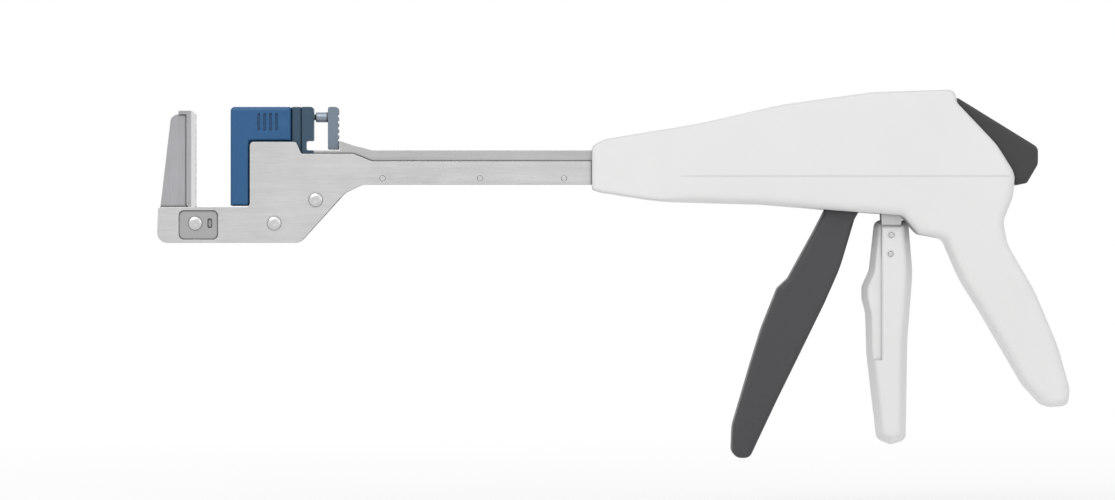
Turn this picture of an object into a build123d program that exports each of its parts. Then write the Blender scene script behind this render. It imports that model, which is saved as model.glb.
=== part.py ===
from build123d import *
import os
from math import cos, radians, sin

# Surgical linear stapler for a 30 mm staple line.
# X runs along the barrel with the jaw at -X, Z is up and Y is across. The origin is the middle of the grip.
# The closing trigger slides the cartridge onto the anvil, and the firing trigger drives the staples out.

# Barrel
barrel_z = 49.0
barrel_height = 12.7
plate_inner = 4.5
plate_thickness = 1.2
plate_band = 8.55
nose_x = -154.7

# Jaw and anvil
anvil_face_x = -301.2
anvil_flange = 3.2
finger_top_z = 70.0
finger_root_depth = 12.9
finger_tip_depth = 8.9
finger_step = 0.8
jaw_back_x = -314.5
jaw_floor_z = 34.4
jaw_bottom_z = 21.1
jaw_corner_radius = 3.7
jaw_heel_x = -262.7
saddle_drop = 1.35
jaw_rivet_radius = 1.5
jaw_rivet_head = 2.6
jaw_rivet_dome = 0.6
boss_recess = 14.6
boss_recess_depth = 0.5
locating_slot_length = 3.7
locating_slot_width = 1.8

# Staple line
staple_count = 11
staple_pitch = 4.9
staple_crown = 3.9
staple_leg = 3.5
staple_wire = 0.24
row_offset = 1.5
staple_line_z = 51.2
anvil_pocket_depth = 0.5
slot_width = 0.9
driver_stroke = 4.2

# Tissue gap, open and closed
open_gap = 13.0
closed_gap = 1.6

# Cartridge
deck_thickness = 4.3
deck_half_width = 5.5
deck_depth = 7.0
arm_top_z = 71.4
arm_height = 12.6
arm_length = 22.4
tail_half_width = 4.3
driver_half_width = 3.1
driver_plate = 2.4
pusher_plate = 1.6
post_length = 3.7
guide_length = 4.4
guide_neck = 1.6

# Retaining pin
pin_z = 67.6
pin_radius = 1.05
pin_stem_radius = 1.9
pin_advance = 5.0
pin_leg_length = 4.1
pin_leg_half_width = 2.8
socket_depth = 4.2

# Closure channel and firing bar
channel_half_width = 4.3
channel_wall = 1.0
ear_length = 10.5
ear_cap = 1.7
shoulder_height = 3.5
bar_half_width = 1.4
bar_bottom_z = 46.6
bar_height = 4.8
rod_radius = 1.4
cross_pin_z = 44.9
cross_pin_radius = 1.1

# Trigger linkage: pivots, swings and pins
closing_pivot_x = -44.0
closing_pivot_z = 36.0
closing_swing = 28.0
firing_swing = 20.0
firing_crank = 13.5
drive_pin_lead = 2.5
pivot_pin_radius = 2.0
crank_pin_radius = 1.5
drive_pin_radius = 1.2
stud_radius = 1.8
lever_thickness = 1.4
firing_cheek = 2.3
lever_hub = 4.0

# Handle
shell_wall = 2.4
edge_radius = 3.0
panel_line_z = 45.5
panel_inset = 0.5
panel_lean = 2.0
boss_radius = 3.8
button_half_width = 8.0
closing_trigger_half_width = 8.6
closing_trigger_core = 2.0
closing_trigger_taper = 20.0
nest_half_width = 7.3
spring_wire = 0.7

# Clearances
running = 0.05
sliding = 0.2
free = 0.4

# Places that follow from the sizes above
barrel_top_z = barrel_z + barrel_height / 2
barrel_bottom_z = barrel_z - barrel_height / 2
plate_top_z = barrel_bottom_z + plate_band
plate_outer = plate_inner + plate_thickness
deck_x = anvil_face_x + open_gap
throat_x = deck_x + deck_depth + sliding
deck_bottom_z = jaw_floor_z + free
arm_rear_x = deck_x + arm_length
closure_travel = open_gap - closed_gap
anvil_seat_x = anvil_face_x - anvil_flange
arm_bottom_z = arm_top_z - arm_height
cheek_top_z = arm_bottom_z - free
cheek_rear_x = arm_rear_x + 1.8
saddle_z = barrel_top_z - saddle_drop
post_front_x = arm_rear_x + 0.1
guide_front_x = post_front_x + post_length + 0.1
guide_rear_x = guide_front_x + guide_length
pin_leg_front_x = guide_rear_x + pin_advance + 0.2
pin_leg_rear_x = pin_leg_front_x + pin_leg_length
shoulder_x = pin_leg_rear_x + free
channel_bottom_z = barrel_bottom_z + 1.0
bar_top_z = bar_bottom_z + bar_height
lever_inner = plate_outer + 0.3
lever_outer = lever_inner + lever_thickness
cheek_inner = lever_outer + 0.3
cheek_outer = cheek_inner + firing_cheek

# The handle fits round the widest trigger, and its nose round the barrel.
pin_reach = cheek_outer + 0.8
cavity_half_width = cheek_outer + running + 0.05
body_half_width = cavity_half_width + shell_wall + panel_lean + panel_inset
nose_half_width = plate_outer + free + shell_wall + 0.1

# The crank pin turns about the closing pivot, and its chord is the closure travel.
crank_radius = closure_travel / (2 * sin(radians(closing_swing / 2)))
crank_x = closing_pivot_x + closure_travel / 2
crank_z = closing_pivot_z + crank_radius * cos(radians(closing_swing / 2))
crank_top_z = closing_pivot_z + crank_radius
ear_front_x = crank_x - ear_length / 2 + 0.05
ear_top_z = crank_top_z + crank_pin_radius + sliding + ear_cap
channel_rear_x = ear_front_x + ear_length
plate_rear_x = channel_rear_x + 6.0

# The drive pin keeps level with the closure at both ends of the closing swing.
turn = radians(closing_swing)
drive_x = closing_pivot_x - drive_pin_lead
drive_z = closing_pivot_z + (closure_travel + drive_pin_lead * (1 - cos(turn))) / sin(turn)
firing_lean = radians((closing_swing + firing_swing) / 2)
firing_pivot_x = drive_x - firing_crank * sin(firing_lean)
firing_pivot_z = drive_z - firing_crank * cos(firing_lean)
firing_stroke = firing_crank * (sin(firing_lean) - sin(firing_lean - radians(firing_swing)))
drive_pin_low_z = drive_z - 5.4
drive_pin_high_z = drive_z + 1.3

os.makedirs("parts", exist_ok=True)


def save(part, name):
    """Label a finished piece and write its file."""
    part.label = name
    export_step(part, f"parts/{name}.step")


def mirror_of(part):
    """The same piece on the other side of the mid-plane."""
    with BuildPart() as other:
        add(mirror(part, about=Plane.XZ))
    return other.part


# Places of the rivets, the cross pins and the staples
jaw_rivet_z = (jaw_floor_z + jaw_bottom_z) / 2 + 0.6
jaw_rivets_at = [
    (anvil_face_x, jaw_rivet_z),
    (throat_x + 9.0, jaw_rivet_z),
    (jaw_heel_x + 6.0, jaw_floor_z + 2.6),
]
recess_at = (anvil_face_x + 1.2, (jaw_floor_z + jaw_bottom_z) / 2)
barrel_rivets_at = [(-232.0, cross_pin_z), (-196.0, cross_pin_z), (-165.0, cross_pin_z)]
anchor_pins_at = [(-128.0, cross_pin_z), (-84.0, cross_pin_z)]
anchor_pin_radius = 1.5
staple_places = [
    (row_offset * (1 if index % 2 else -1), staple_line_z + (index - (staple_count - 1) / 2) * staple_pitch / 2)
    for index in range(staple_count)
]

# Frame plates: two stampings that run from the jaw to the handle
with BuildPart() as left_frame_plate:
    with BuildSketch(Plane.XZ.offset(plate_inner)):
        with BuildLine():
            FilletPolyline(
                (anvil_face_x - finger_root_depth - finger_step, jaw_floor_z),
                (jaw_back_x - finger_step, jaw_bottom_z),
                (jaw_heel_x, jaw_bottom_z),
                (jaw_heel_x + 16.7, barrel_bottom_z - 3.05),
                (jaw_heel_x + 23.0, barrel_bottom_z),
                (closing_pivot_x - 16.0, barrel_bottom_z),
                (closing_pivot_x - 5.0, closing_pivot_z - lever_hub),
                (closing_pivot_x + 5.0, closing_pivot_z - lever_hub),
                (plate_rear_x, barrel_bottom_z),
                (plate_rear_x, plate_top_z),
                (shoulder_x + 12.0, plate_top_z),
                (shoulder_x + 5.0, saddle_z),
                (cheek_rear_x + 2.0, saddle_z),
                (cheek_rear_x, cheek_top_z),
                (throat_x, cheek_top_z),
                (throat_x, jaw_floor_z),
                radius=[1.2, jaw_corner_radius, 5.0, 6.0, 4.0, 4.0, 2.0, 2.0, 2.0,
                        1.0, 4.0, 4.0, 1.0, 1.0, 1.5, 1.5],
                close=True,
            )
        make_face()
        with Locations(*jaw_rivets_at):
            Circle(jaw_rivet_radius, mode=Mode.SUBTRACT)
        with Locations(*barrel_rivets_at):
            Circle(cross_pin_radius, mode=Mode.SUBTRACT)
        with Locations(*anchor_pins_at):
            Circle(anchor_pin_radius, mode=Mode.SUBTRACT)
        with Locations((closing_pivot_x, closing_pivot_z)):
            Circle(pivot_pin_radius, mode=Mode.SUBTRACT)
    extrude(amount=plate_thickness)
    # Square recess pressed round the front jaw rivet
    with BuildSketch(Plane.XZ.offset(plate_outer)):
        with Locations(recess_at):
            RectangleRounded(boss_recess, jaw_floor_z - jaw_bottom_z - 2.4, 2.0)
    extrude(amount=-boss_recess_depth, mode=Mode.SUBTRACT)
    # Slot beside it that locates the plate on the anvil
    with BuildSketch(Plane.XZ.offset(plate_outer)):
        with Locations((anvil_face_x + 5.4, jaw_rivet_z)):
            SlotOverall(locating_slot_length, locating_slot_width, rotation=90)
    extrude(amount=-plate_thickness, mode=Mode.SUBTRACT)
save(left_frame_plate.part, "left_frame_plate")
save(mirror_of(left_frame_plate.part), "right_frame_plate")

# Anvil: one forging, a finger with a T section that stands on the plates and a foot between them
with BuildPart() as anvil:
    with BuildSketch(Plane.XZ):
        with BuildLine():
            FilletPolyline(
                (anvil_seat_x, finger_top_z - 1.4),
                (anvil_face_x - finger_tip_depth, finger_top_z - 1.4),
                (anvil_face_x - finger_root_depth, jaw_floor_z),
                (jaw_back_x + 0.6, jaw_bottom_z + 0.6),
                (jaw_heel_x - 0.6, jaw_bottom_z + 0.6),
                (jaw_heel_x + 15.0, barrel_bottom_z - 4.25),
                (jaw_heel_x + 15.0, barrel_bottom_z),
                (arm_rear_x + 3.0, barrel_bottom_z),
                (arm_rear_x + 3.0, jaw_floor_z - 0.4),
                (anvil_seat_x, jaw_floor_z - 0.4),
                radius=[0.4, 2.8, 8.0, 3.1, 5.0, 4.0, 1.0, 1.0, 1.5, 1.0],
                close=True,
            )
        make_face()
    extrude(amount=plate_inner, both=True)
    # The face flange is as wide as the plates and carries the staple pockets.
    with BuildSketch(Plane.XZ):
        with BuildLine():
            FilletPolyline(
                (anvil_face_x, jaw_floor_z),
                (anvil_face_x, finger_top_z - 1.2),
                (anvil_face_x - 1.2, finger_top_z),
                (anvil_seat_x - 3.0, finger_top_z),
                (anvil_seat_x - 3.0, finger_top_z - 1.4),
                (anvil_seat_x, finger_top_z - 1.4),
                (anvil_seat_x, jaw_floor_z),
                radius=[0.2, 0.8, 0.8, 0.6, 0.2, 0.2, 1.2],
                close=True,
            )
        make_face()
    extrude(amount=plate_outer, both=True)
    with BuildSketch(Plane.YZ.offset(anvil_face_x)):
        with Locations((0, pin_z)):
            Circle(pin_radius + 0.2)
    extrude(amount=-socket_depth, mode=Mode.SUBTRACT)
    with BuildSketch(Plane.XZ):
        with Locations(*jaw_rivets_at):
            Circle(jaw_rivet_radius)
    extrude(amount=plate_outer, both=True, mode=Mode.SUBTRACT)
    # Two curved pockets under the legs of each staple turn the legs inward.
    with BuildSketch(Plane.YZ.offset(anvil_face_x)):
        with Locations(*[
            (y, z + side * staple_crown * 0.27) for y, z in staple_places for side in (-1, 1)
        ]):
            SlotOverall(staple_crown * 0.5, slot_width * 0.8, rotation=90)
    extrude(amount=-anvil_pocket_depth, mode=Mode.SUBTRACT)
save(anvil.part, "anvil")

# Jaw rivets: a shank between low heads with rounded rims
with BuildPart() as jaw_rivets:
    with BuildSketch(Plane.XZ):
        with Locations(*jaw_rivets_at):
            Circle(jaw_rivet_radius)
    extrude(amount=plate_outer - boss_recess_depth, both=True)
    for index, place in enumerate(jaw_rivets_at):
        seat_y = plate_outer - (boss_recess_depth if index == 0 else 0)
        for side in (-1, 1):
            with BuildSketch(Plane.XZ.offset(-side * (plate_outer - boss_recess_depth))):
                with Locations(place):
                    Circle(jaw_rivet_radius)
            extrude(amount=-side * (seat_y + jaw_rivet_dome - plate_outer + boss_recess_depth))
            with BuildSketch(Plane.XZ.offset(-side * seat_y)):
                with Locations(place):
                    Circle(jaw_rivet_head)
            extrude(amount=-side * jaw_rivet_dome)
    heads = jaw_rivets.edges().filter_by(GeomType.CIRCLE).group_by(Axis.Y)
    for rim in (heads[0], heads[-1]):
        chamfer(rim, jaw_rivet_dome * 0.6)
save(jaw_rivets.part, "jaw_rivets")


def cross_pins(name, places, radius, half_length):
    """One or more plain pins across the part, as one node."""
    with BuildPart() as pins:
        with BuildSketch(Plane.XZ):
            with Locations(*places):
                Circle(radius)
        extrude(amount=half_length, both=True)
        chamfer(pins.edges().filter_by(GeomType.CIRCLE), radius * 0.15)
    save(pins.part, name)


cross_pins("barrel_rivets", barrel_rivets_at, cross_pin_radius, plate_outer)
cross_pins("anchor_pins", anchor_pins_at, anchor_pin_radius, pin_reach)
cross_pins("closing_pivot_pin", [(closing_pivot_x, closing_pivot_z)], pivot_pin_radius, pin_reach)
cross_pins("crank_pin", [(crank_x, crank_z)], crank_pin_radius, lever_outer)
cross_pins("drive_pin", [(drive_x, drive_z)], drive_pin_radius, cheek_outer)

# Closure channel: an inverted U between the plates, with a shoulder in front and two ears behind
with BuildPart() as closure_channel:
    with BuildSketch(Plane.XZ):
        with BuildLine():
            Polyline(
                (guide_rear_x + 0.1, channel_bottom_z),
                (channel_rear_x, channel_bottom_z),
                (channel_rear_x, ear_top_z),
                (ear_front_x, ear_top_z),
                (ear_front_x, bar_top_z + 1.0),
                (ear_front_x - 11.0, bar_top_z + 1.0),
                (ear_front_x - 13.0, barrel_top_z),
                (shoulder_x + 12.0, barrel_top_z),
                (shoulder_x + 4.5, barrel_top_z + shoulder_height * 0.55),
                (shoulder_x, barrel_top_z + shoulder_height),
                (shoulder_x, barrel_top_z),
                (guide_rear_x + 0.1, barrel_top_z),
                close=True,
            )
        make_face()
    extrude(amount=channel_half_width, both=True)
    fillet(closure_channel.edges().filter_by(Axis.Y).group_by(Axis.Z)[-1], 2.0)
    # The hollow under the web
    with BuildSketch(Plane.XZ):
        with BuildLine():
            Polyline(
                (guide_rear_x - 1, channel_bottom_z - 1),
                (channel_rear_x + 1, channel_bottom_z - 1),
                (channel_rear_x + 1, ear_top_z + 1),
                (ear_front_x - 14.0, ear_top_z + 1),
                (ear_front_x - 14.0, barrel_top_z - channel_wall),
                (guide_rear_x - 1, barrel_top_z - channel_wall),
                close=True,
            )
        make_face()
    extrude(amount=channel_half_width - channel_wall, both=True, mode=Mode.SUBTRACT)
    # Notches over the cross pins are as long as the travel.
    for x, z in barrel_rivets_at + anchor_pins_at:
        radius = anchor_pin_radius if (x, z) in anchor_pins_at else cross_pin_radius
        with BuildSketch(Plane.XZ):
            with Locations((x + closure_travel / 2, z - 2.0)):
                RectangleRounded(closure_travel + 2 * (radius + free), 2 * (radius + sliding) + 4.0, radius)
        extrude(amount=channel_half_width, both=True, mode=Mode.SUBTRACT)
    # Upright slots in the ears for the crank pin
    with BuildSketch(Plane.XZ):
        with Locations((crank_x, (crank_z + crank_top_z) / 2)):
            SlotOverall(crank_top_z - crank_z + 2 * (crank_pin_radius + sliding),
                        2 * (crank_pin_radius + running + 0.04), rotation=90)
    extrude(amount=channel_half_width, both=True, mode=Mode.SUBTRACT)
    # The top edges along the web are broken.
    chamfer(closure_channel.edges().filter_by(Axis.X).group_by(Axis.Z)[-1], 0.3)
save(closure_channel.part, "closure_channel")

# Pin guide: the block in the front of the channel that carries the cartridge and the retaining pin
with BuildPart() as pin_guide:
    with BuildSketch(Plane.XZ):
        with BuildLine():
            FilletPolyline(
                (guide_front_x, channel_bottom_z),
                (guide_rear_x, channel_bottom_z),
                (guide_rear_x, barrel_top_z),
                (guide_front_x + guide_neck, barrel_top_z),
                (guide_front_x + guide_neck, arm_bottom_z),
                (guide_rear_x, arm_bottom_z),
                (guide_rear_x, arm_top_z),
                (guide_front_x, arm_top_z),
                radius=[0.3, 0.3, 0.3, 0.8, 0.8, 0.6, 1.2, 0.3],
                close=True,
            )
        make_face()
    extrude(amount=tail_half_width, both=True)
    # Tongue that fits in the mouth of the channel
    with BuildSketch(Plane.YZ.offset(guide_rear_x)):
        with Locations((0, (channel_bottom_z + barrel_top_z - channel_wall) / 2)):
            Rectangle(2 * (channel_half_width - channel_wall), barrel_top_z - channel_wall - channel_bottom_z)
    extrude(amount=6.0)
    # Window for the firing bar
    with BuildSketch(Plane.YZ.offset(guide_front_x)):
        with Locations((0, (bar_bottom_z + bar_top_z) / 2)):
            Rectangle(2 * (bar_half_width + sliding), bar_height + 2 * sliding)
    extrude(amount=guide_length + 6.0, mode=Mode.SUBTRACT)
    with Locations(Plane.YZ.offset(guide_rear_x)):
        with Locations((0, pin_z)):
            Hole(pin_radius + running)
            CounterBoreHole(pin_radius + running, pin_stem_radius + 0.1, guide_length)
save(pin_guide.part, "pin_guide")

# Cartridge post: locks the cartridge to the guide
with BuildPart() as cartridge_post:
    with BuildSketch(Plane.XY.offset(bar_top_z + 0.8)):
        with Locations((post_front_x + post_length / 2, 0)):
            RectangleRounded(post_length, 2 * tail_half_width - 1.0, 0.5)
    extrude(amount=arm_top_z - bar_top_z - 0.8)
    chamfer(cartridge_post.faces().sort_by(Axis.Z)[-1].edges(), 0.4)
    with Locations(Plane.YZ.offset(post_front_x + post_length)):
        with Locations((0, pin_z)):
            Hole(pin_radius + running)
save(cartridge_post.part, "cartridge_post")

# Cartridge: deck with staggered slots, a cavity for the driver and an arm with the bore of the pin
driver_length = (staple_count - 1) * staple_pitch / 2 + staple_crown + 0.8
driver_bottom_z = staple_line_z - driver_length / 2 - free
driver_top_z = staple_line_z + driver_length / 2 + free
cavity_length = driver_stroke + driver_plate + pusher_plate + 5.8
groove_depth = 0.5
with BuildPart() as cartridge:
    with BuildSketch(Plane.XZ):
        with BuildLine():
            FilletPolyline(
                (deck_x, deck_bottom_z),
                (deck_x + deck_depth, deck_bottom_z),
                (deck_x + deck_depth, arm_bottom_z),
                (arm_rear_x, arm_bottom_z),
                (arm_rear_x, arm_top_z),
                (deck_x, arm_top_z),
                radius=[0.6, 0.6, 0.6, 0.3, 0.6, 1.6],
                close=True,
            )
        make_face()
    extrude(amount=deck_half_width, both=True)
    fillet(cartridge.faces().sort_by(Axis.Z)[-1].edges().filter_by(Axis.X), 1.4)
    with BuildSketch(Plane.XZ):
        with BuildLine():
            FilletPolyline(
                (deck_x + deck_depth - 1, deck_bottom_z + 0.8),
                (arm_rear_x, deck_bottom_z + 0.8),
                (arm_rear_x, arm_bottom_z + 1),
                (deck_x + deck_depth - 1, arm_bottom_z + 1),
                radius=0.4,
                close=True,
            )
        make_face()
    extrude(amount=tail_half_width - sliding, both=True)
    # Finger grooves in both sides of the arm
    for side in (-1, 1):
        with BuildSketch(Plane.XZ.offset(side * deck_half_width)):
            with Locations(*[(deck_x + 10.5 + 2.2 * index, arm_top_z - 5.6) for index in range(4)]):
                SlotOverall(6.5, 1.0, rotation=90)
        extrude(amount=-side * groove_depth, mode=Mode.SUBTRACT)
    # Driver cavity, and the passage of the firing bar behind it
    with BuildSketch(Plane.XZ):
        with BuildLine():
            Polyline(
                (deck_x + deck_thickness, driver_bottom_z),
                (arm_rear_x + 1, driver_bottom_z),
                (arm_rear_x + 1, bar_top_z + 0.6),
                (deck_x + deck_thickness + cavity_length, bar_top_z + 0.6),
                (deck_x + deck_thickness + cavity_length, driver_top_z),
                (deck_x + deck_thickness, driver_top_z),
                close=True,
            )
        make_face()
    extrude(amount=driver_half_width + sliding, both=True, mode=Mode.SUBTRACT)
    # Staple slots
    with BuildSketch(Plane.YZ.offset(deck_x)):
        with Locations(*staple_places):
            SlotOverall(staple_crown + 0.5, slot_width, rotation=90)
    extrude(amount=deck_thickness + 1, mode=Mode.SUBTRACT)
    # Bore of the retaining pin
    with BuildSketch(Plane.YZ.offset(deck_x - 1)):
        with Locations((0, pin_z)):
            Circle(pin_radius + running)
    extrude(amount=arm_length + 2, mode=Mode.SUBTRACT)
save(cartridge.part, "cartridge")

# Staple driver: a spine with one finger under each staple
driver_front_x = deck_x + deck_thickness + driver_stroke + 0.1
with BuildPart() as staple_driver:
    with BuildSketch(Plane.YZ.offset(driver_front_x)):
        with Locations((0, staple_line_z)):
            RectangleRounded(2 * driver_half_width, driver_length, 0.6)
    extrude(amount=driver_plate)
    with BuildSketch(Plane.YZ.offset(driver_front_x)):
        with Locations(*staple_places):
            SlotOverall(staple_crown, slot_width - sliding, rotation=90)
    extrude(amount=-driver_stroke - 0.2)
save(staple_driver.part, "staple_driver")

# Staples: one wire each, with the crown on the driver and the legs towards the anvil
crown_x = driver_front_x - driver_stroke - 0.2 - staple_wire / 2 - 0.02
with BuildPart() as staples:
    for y, z in staple_places:
        with BuildLine():
            wire_path = FilletPolyline(
                (crown_x - staple_leg, y, z - staple_crown / 2 + staple_wire / 2),
                (crown_x, y, z - staple_crown / 2 + staple_wire / 2),
                (crown_x, y, z + staple_crown / 2 - staple_wire / 2),
                (crown_x - staple_leg, y, z + staple_crown / 2 - staple_wire / 2),
                radius=2 * staple_wire,
            )
        with BuildSketch(Plane(wire_path @ 0, z_dir=wire_path % 0)):
            RegularPolygon(staple_wire / 2, 6)
        sweep(path=wire_path)
save(staples.part, "staples")

# Pusher: the upright plate behind the driver spine
pusher_front_x = driver_front_x + driver_plate + firing_stroke - driver_stroke + 0.1
with BuildPart() as pusher:
    with BuildSketch(Plane.YZ.offset(pusher_front_x)):
        with Locations((0, staple_line_z)):
            RectangleRounded(2 * driver_half_width, driver_length - 2.2, 0.6)
    extrude(amount=pusher_plate)
    with BuildSketch(Plane.YZ.offset(pusher_front_x)):
        with Locations((0, (bar_bottom_z + bar_top_z) / 2)):
            Rectangle(2 * bar_half_width, bar_height - 1.0)
    extrude(amount=pusher_plate, mode=Mode.SUBTRACT)
save(pusher.part, "pusher")

# Firing bar: a flat bar with a tenon in the pusher, a round neck in its spring and a slotted tail
neck_front_x = -150.0
neck_length = 24.0
with BuildPart() as firing_bar:
    with BuildSketch(Plane.XZ):
        with BuildLine():
            Polyline(
                (pusher_front_x, bar_bottom_z + 0.5),
                (pusher_front_x + pusher_plate, bar_bottom_z + 0.5),
                (pusher_front_x + pusher_plate, bar_bottom_z),
                (drive_x + 4.0, bar_bottom_z),
                (drive_x + 4.0, drive_z + 4.0),
                (drive_x - 4.0, drive_z + 4.0),
                (drive_x - 4.0, bar_top_z),
                (pusher_front_x + pusher_plate, bar_top_z),
                (pusher_front_x + pusher_plate, bar_top_z - 0.5),
                (pusher_front_x, bar_top_z - 0.5),
                close=True,
            )
        make_face()
    extrude(amount=bar_half_width, both=True)
    fillet(firing_bar.edges().filter_by(Axis.Y).group_by(Axis.Z)[-1], 3.0)
    with BuildSketch(Plane.XZ):
        with Locations((drive_x - 0.17, (drive_pin_low_z + drive_pin_high_z) / 2)):
            SlotOverall(drive_pin_high_z - drive_pin_low_z + 2 * drive_pin_radius,
                        2 * (drive_pin_radius + 0.3), rotation=90)
    extrude(amount=bar_half_width, both=True, mode=Mode.SUBTRACT)
    with BuildSketch(Plane.YZ.offset(neck_front_x)):
        with Locations((0, (bar_bottom_z + bar_top_z) / 2)):
            Rectangle(4 * bar_half_width, 2 * bar_height)
            Circle(rod_radius, mode=Mode.SUBTRACT)
    extrude(amount=neck_length, mode=Mode.SUBTRACT)
save(firing_bar.part, "firing_bar")

# Spring seat: a washer block fixed in the channel in front of the firing spring
seat_length = 3.0
with BuildPart() as spring_seat:
    with BuildSketch(Plane.YZ.offset(neck_front_x + 5.0)):
        with Locations((0, (channel_bottom_z + barrel_top_z - channel_wall) / 2)):
            Rectangle(2 * (channel_half_width - channel_wall), barrel_top_z - channel_wall - channel_bottom_z)
        with Locations((0, (bar_bottom_z + bar_top_z) / 2)):
            Circle(rod_radius + sliding, mode=Mode.SUBTRACT)
    extrude(amount=seat_length)
save(spring_seat.part, "spring_seat")


def coil(start, length, turns, radius, wire):
    """A helical spring along X in the current part, from a start point on its axis."""
    with BuildLine() as centre:
        Helix(length / turns, length, radius, center=start, direction=(1, 0, 0))
    path = centre.line
    with BuildSketch(Plane(path @ 0, z_dir=path % 0)) as section:
        RegularPolygon(wire / 2, 6)
    sweep(section.sketch, path=path, is_frenet=True)


firing_spring_start = neck_front_x + 5.0 + seat_length + 0.4
firing_spring_end = neck_front_x + neck_length - 0.4
with BuildPart() as firing_spring:
    coil((firing_spring_start, 0, (bar_bottom_z + bar_top_z) / 2), firing_spring_end - firing_spring_start,
         8, 2.1, spring_wire)
save(firing_spring.part, "firing_spring")

# Retaining pin: slim in the cartridge and stout behind the guide
with BuildPart() as retaining_pin:
    with BuildSketch(Plane.XZ):
        with BuildLine():
            Polyline(
                (deck_x + 0.2, pin_z),
                (deck_x + 0.2, pin_z + pin_radius - 0.4),
                (deck_x + 0.9, pin_z + pin_radius),
                (guide_rear_x + 0.5, pin_z + pin_radius),
                (guide_rear_x + 0.9, pin_z + pin_stem_radius),
                (pin_leg_front_x + 1.0, pin_z + pin_stem_radius),
                (pin_leg_front_x + 1.0, pin_z),
                close=True,
            )
        make_face()
    revolve(axis=Axis((0, 0, pin_z), (1, 0, 0)))
save(retaining_pin.part, "retaining_pin")

# Pin knob: the leg behind the pin that a thumb can push forward
with BuildPart() as pin_knob:
    with BuildSketch(Plane.XZ):
        with BuildLine():
            FilletPolyline(
                (pin_leg_front_x, barrel_top_z + 0.3),
                (pin_leg_rear_x, barrel_top_z + 0.3),
                (pin_leg_rear_x, arm_top_z),
                (pin_leg_front_x, arm_top_z),
                radius=[0.4, 0.4, 1.4, 0.8],
                close=True,
            )
        make_face()
    extrude(amount=pin_leg_half_width, both=True)
    with BuildSketch(Plane.YZ.offset(pin_leg_front_x)):
        with Locations((0, pin_z)):
            Circle(pin_stem_radius)
    extrude(amount=1.0, mode=Mode.SUBTRACT)
    # Thumb ribs on the rear face
    with BuildSketch(Plane.XZ):
        with Locations(*[(pin_leg_rear_x, arm_top_z - 3.4 - 2.2 * index) for index in range(5)]):
            Circle(0.5)
    extrude(amount=pin_leg_half_width, both=True, mode=Mode.SUBTRACT)
save(pin_knob.part, "pin_knob")

# Closing levers: steel bell cranks from the crank pin past the pivot into the trigger
lever_rivet_radius = 1.0
lever_rivets_at = [
    (closing_pivot_x - 0.6, closing_pivot_z - 19.0),
    (closing_pivot_x - 0.3, closing_pivot_z - 12.0),
]
with BuildPart() as left_closing_lever:
    with BuildSketch(Plane.XZ.offset(lever_inner)):
        with Locations((closing_pivot_x, closing_pivot_z)):
            Circle(lever_hub)
        with Locations((crank_x, crank_z), (firing_pivot_x, firing_pivot_z)):
            Circle(stud_radius + 1.2)
        make_hull()
    with BuildSketch(Plane.XZ.offset(lever_inner)):
        with Locations((closing_pivot_x, closing_pivot_z)):
            Circle(lever_hub)
        with Locations(lever_rivets_at[0]):
            Circle(3.0)
        make_hull()
    extrude(amount=lever_thickness)
    with BuildSketch(Plane.XZ.offset(lever_inner)):
        with Locations((closing_pivot_x, closing_pivot_z)):
            Circle(pivot_pin_radius + running)
        with Locations((crank_x, crank_z)):
            Circle(crank_pin_radius)
        with Locations((firing_pivot_x, firing_pivot_z)):
            Circle(stud_radius)
        with Locations(*lever_rivets_at):
            Circle(lever_rivet_radius)
        with Locations((closing_pivot_x - 1.6, closing_pivot_z + 11.5)):
            Circle(2.6)
    extrude(amount=lever_thickness, mode=Mode.SUBTRACT)
right_closing_lever = mirror_of(left_closing_lever.part)
save(left_closing_lever.part, "left_closing_lever")
save(right_closing_lever, "right_closing_lever")

# Studs on the closing levers that carry the firing trigger
with BuildPart() as firing_pivot_studs:
    with BuildSketch(Plane.XZ.offset(lever_inner)):
        with Locations((firing_pivot_x, firing_pivot_z)):
            Circle(stud_radius)
    extrude(amount=cheek_outer - lever_inner)
    mirror(about=Plane.XZ)
save(firing_pivot_studs.part, "firing_pivot_studs")
cross_pins("lever_rivets", lever_rivets_at, lever_rivet_radius, closing_trigger_half_width)

# The triggers are drawn round the closing pivot.
pivot_plane = Plane(origin=(closing_pivot_x, 0, closing_pivot_z), x_dir=(1, 0, 0), z_dir=(0, -1, 0))


def closing_trigger_outline():
    """The side view of the closing trigger as one closed line."""
    FilletPolyline(
        (-6.2, -6.5),
        (-8.2, -25.0),
        (-10.9, -31.0),
        (-10.9, -35.5),
        (-9.5, -41.0),
        (-9.1, -56.0),
        (-5.4, -87.4),
        (-0.5, -89.4),
        (5.3, -87.8),
        (5.9, -50.8),
        (7.8, -26.0),
        (6.2, -6.5),
        radius=[2.6, 6.0, 3.5, 3.5, 8.0, 40.0, 3.0, 3.2, 3.0, 60.0, 40.0, 2.6],
        close=True,
    )


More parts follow.
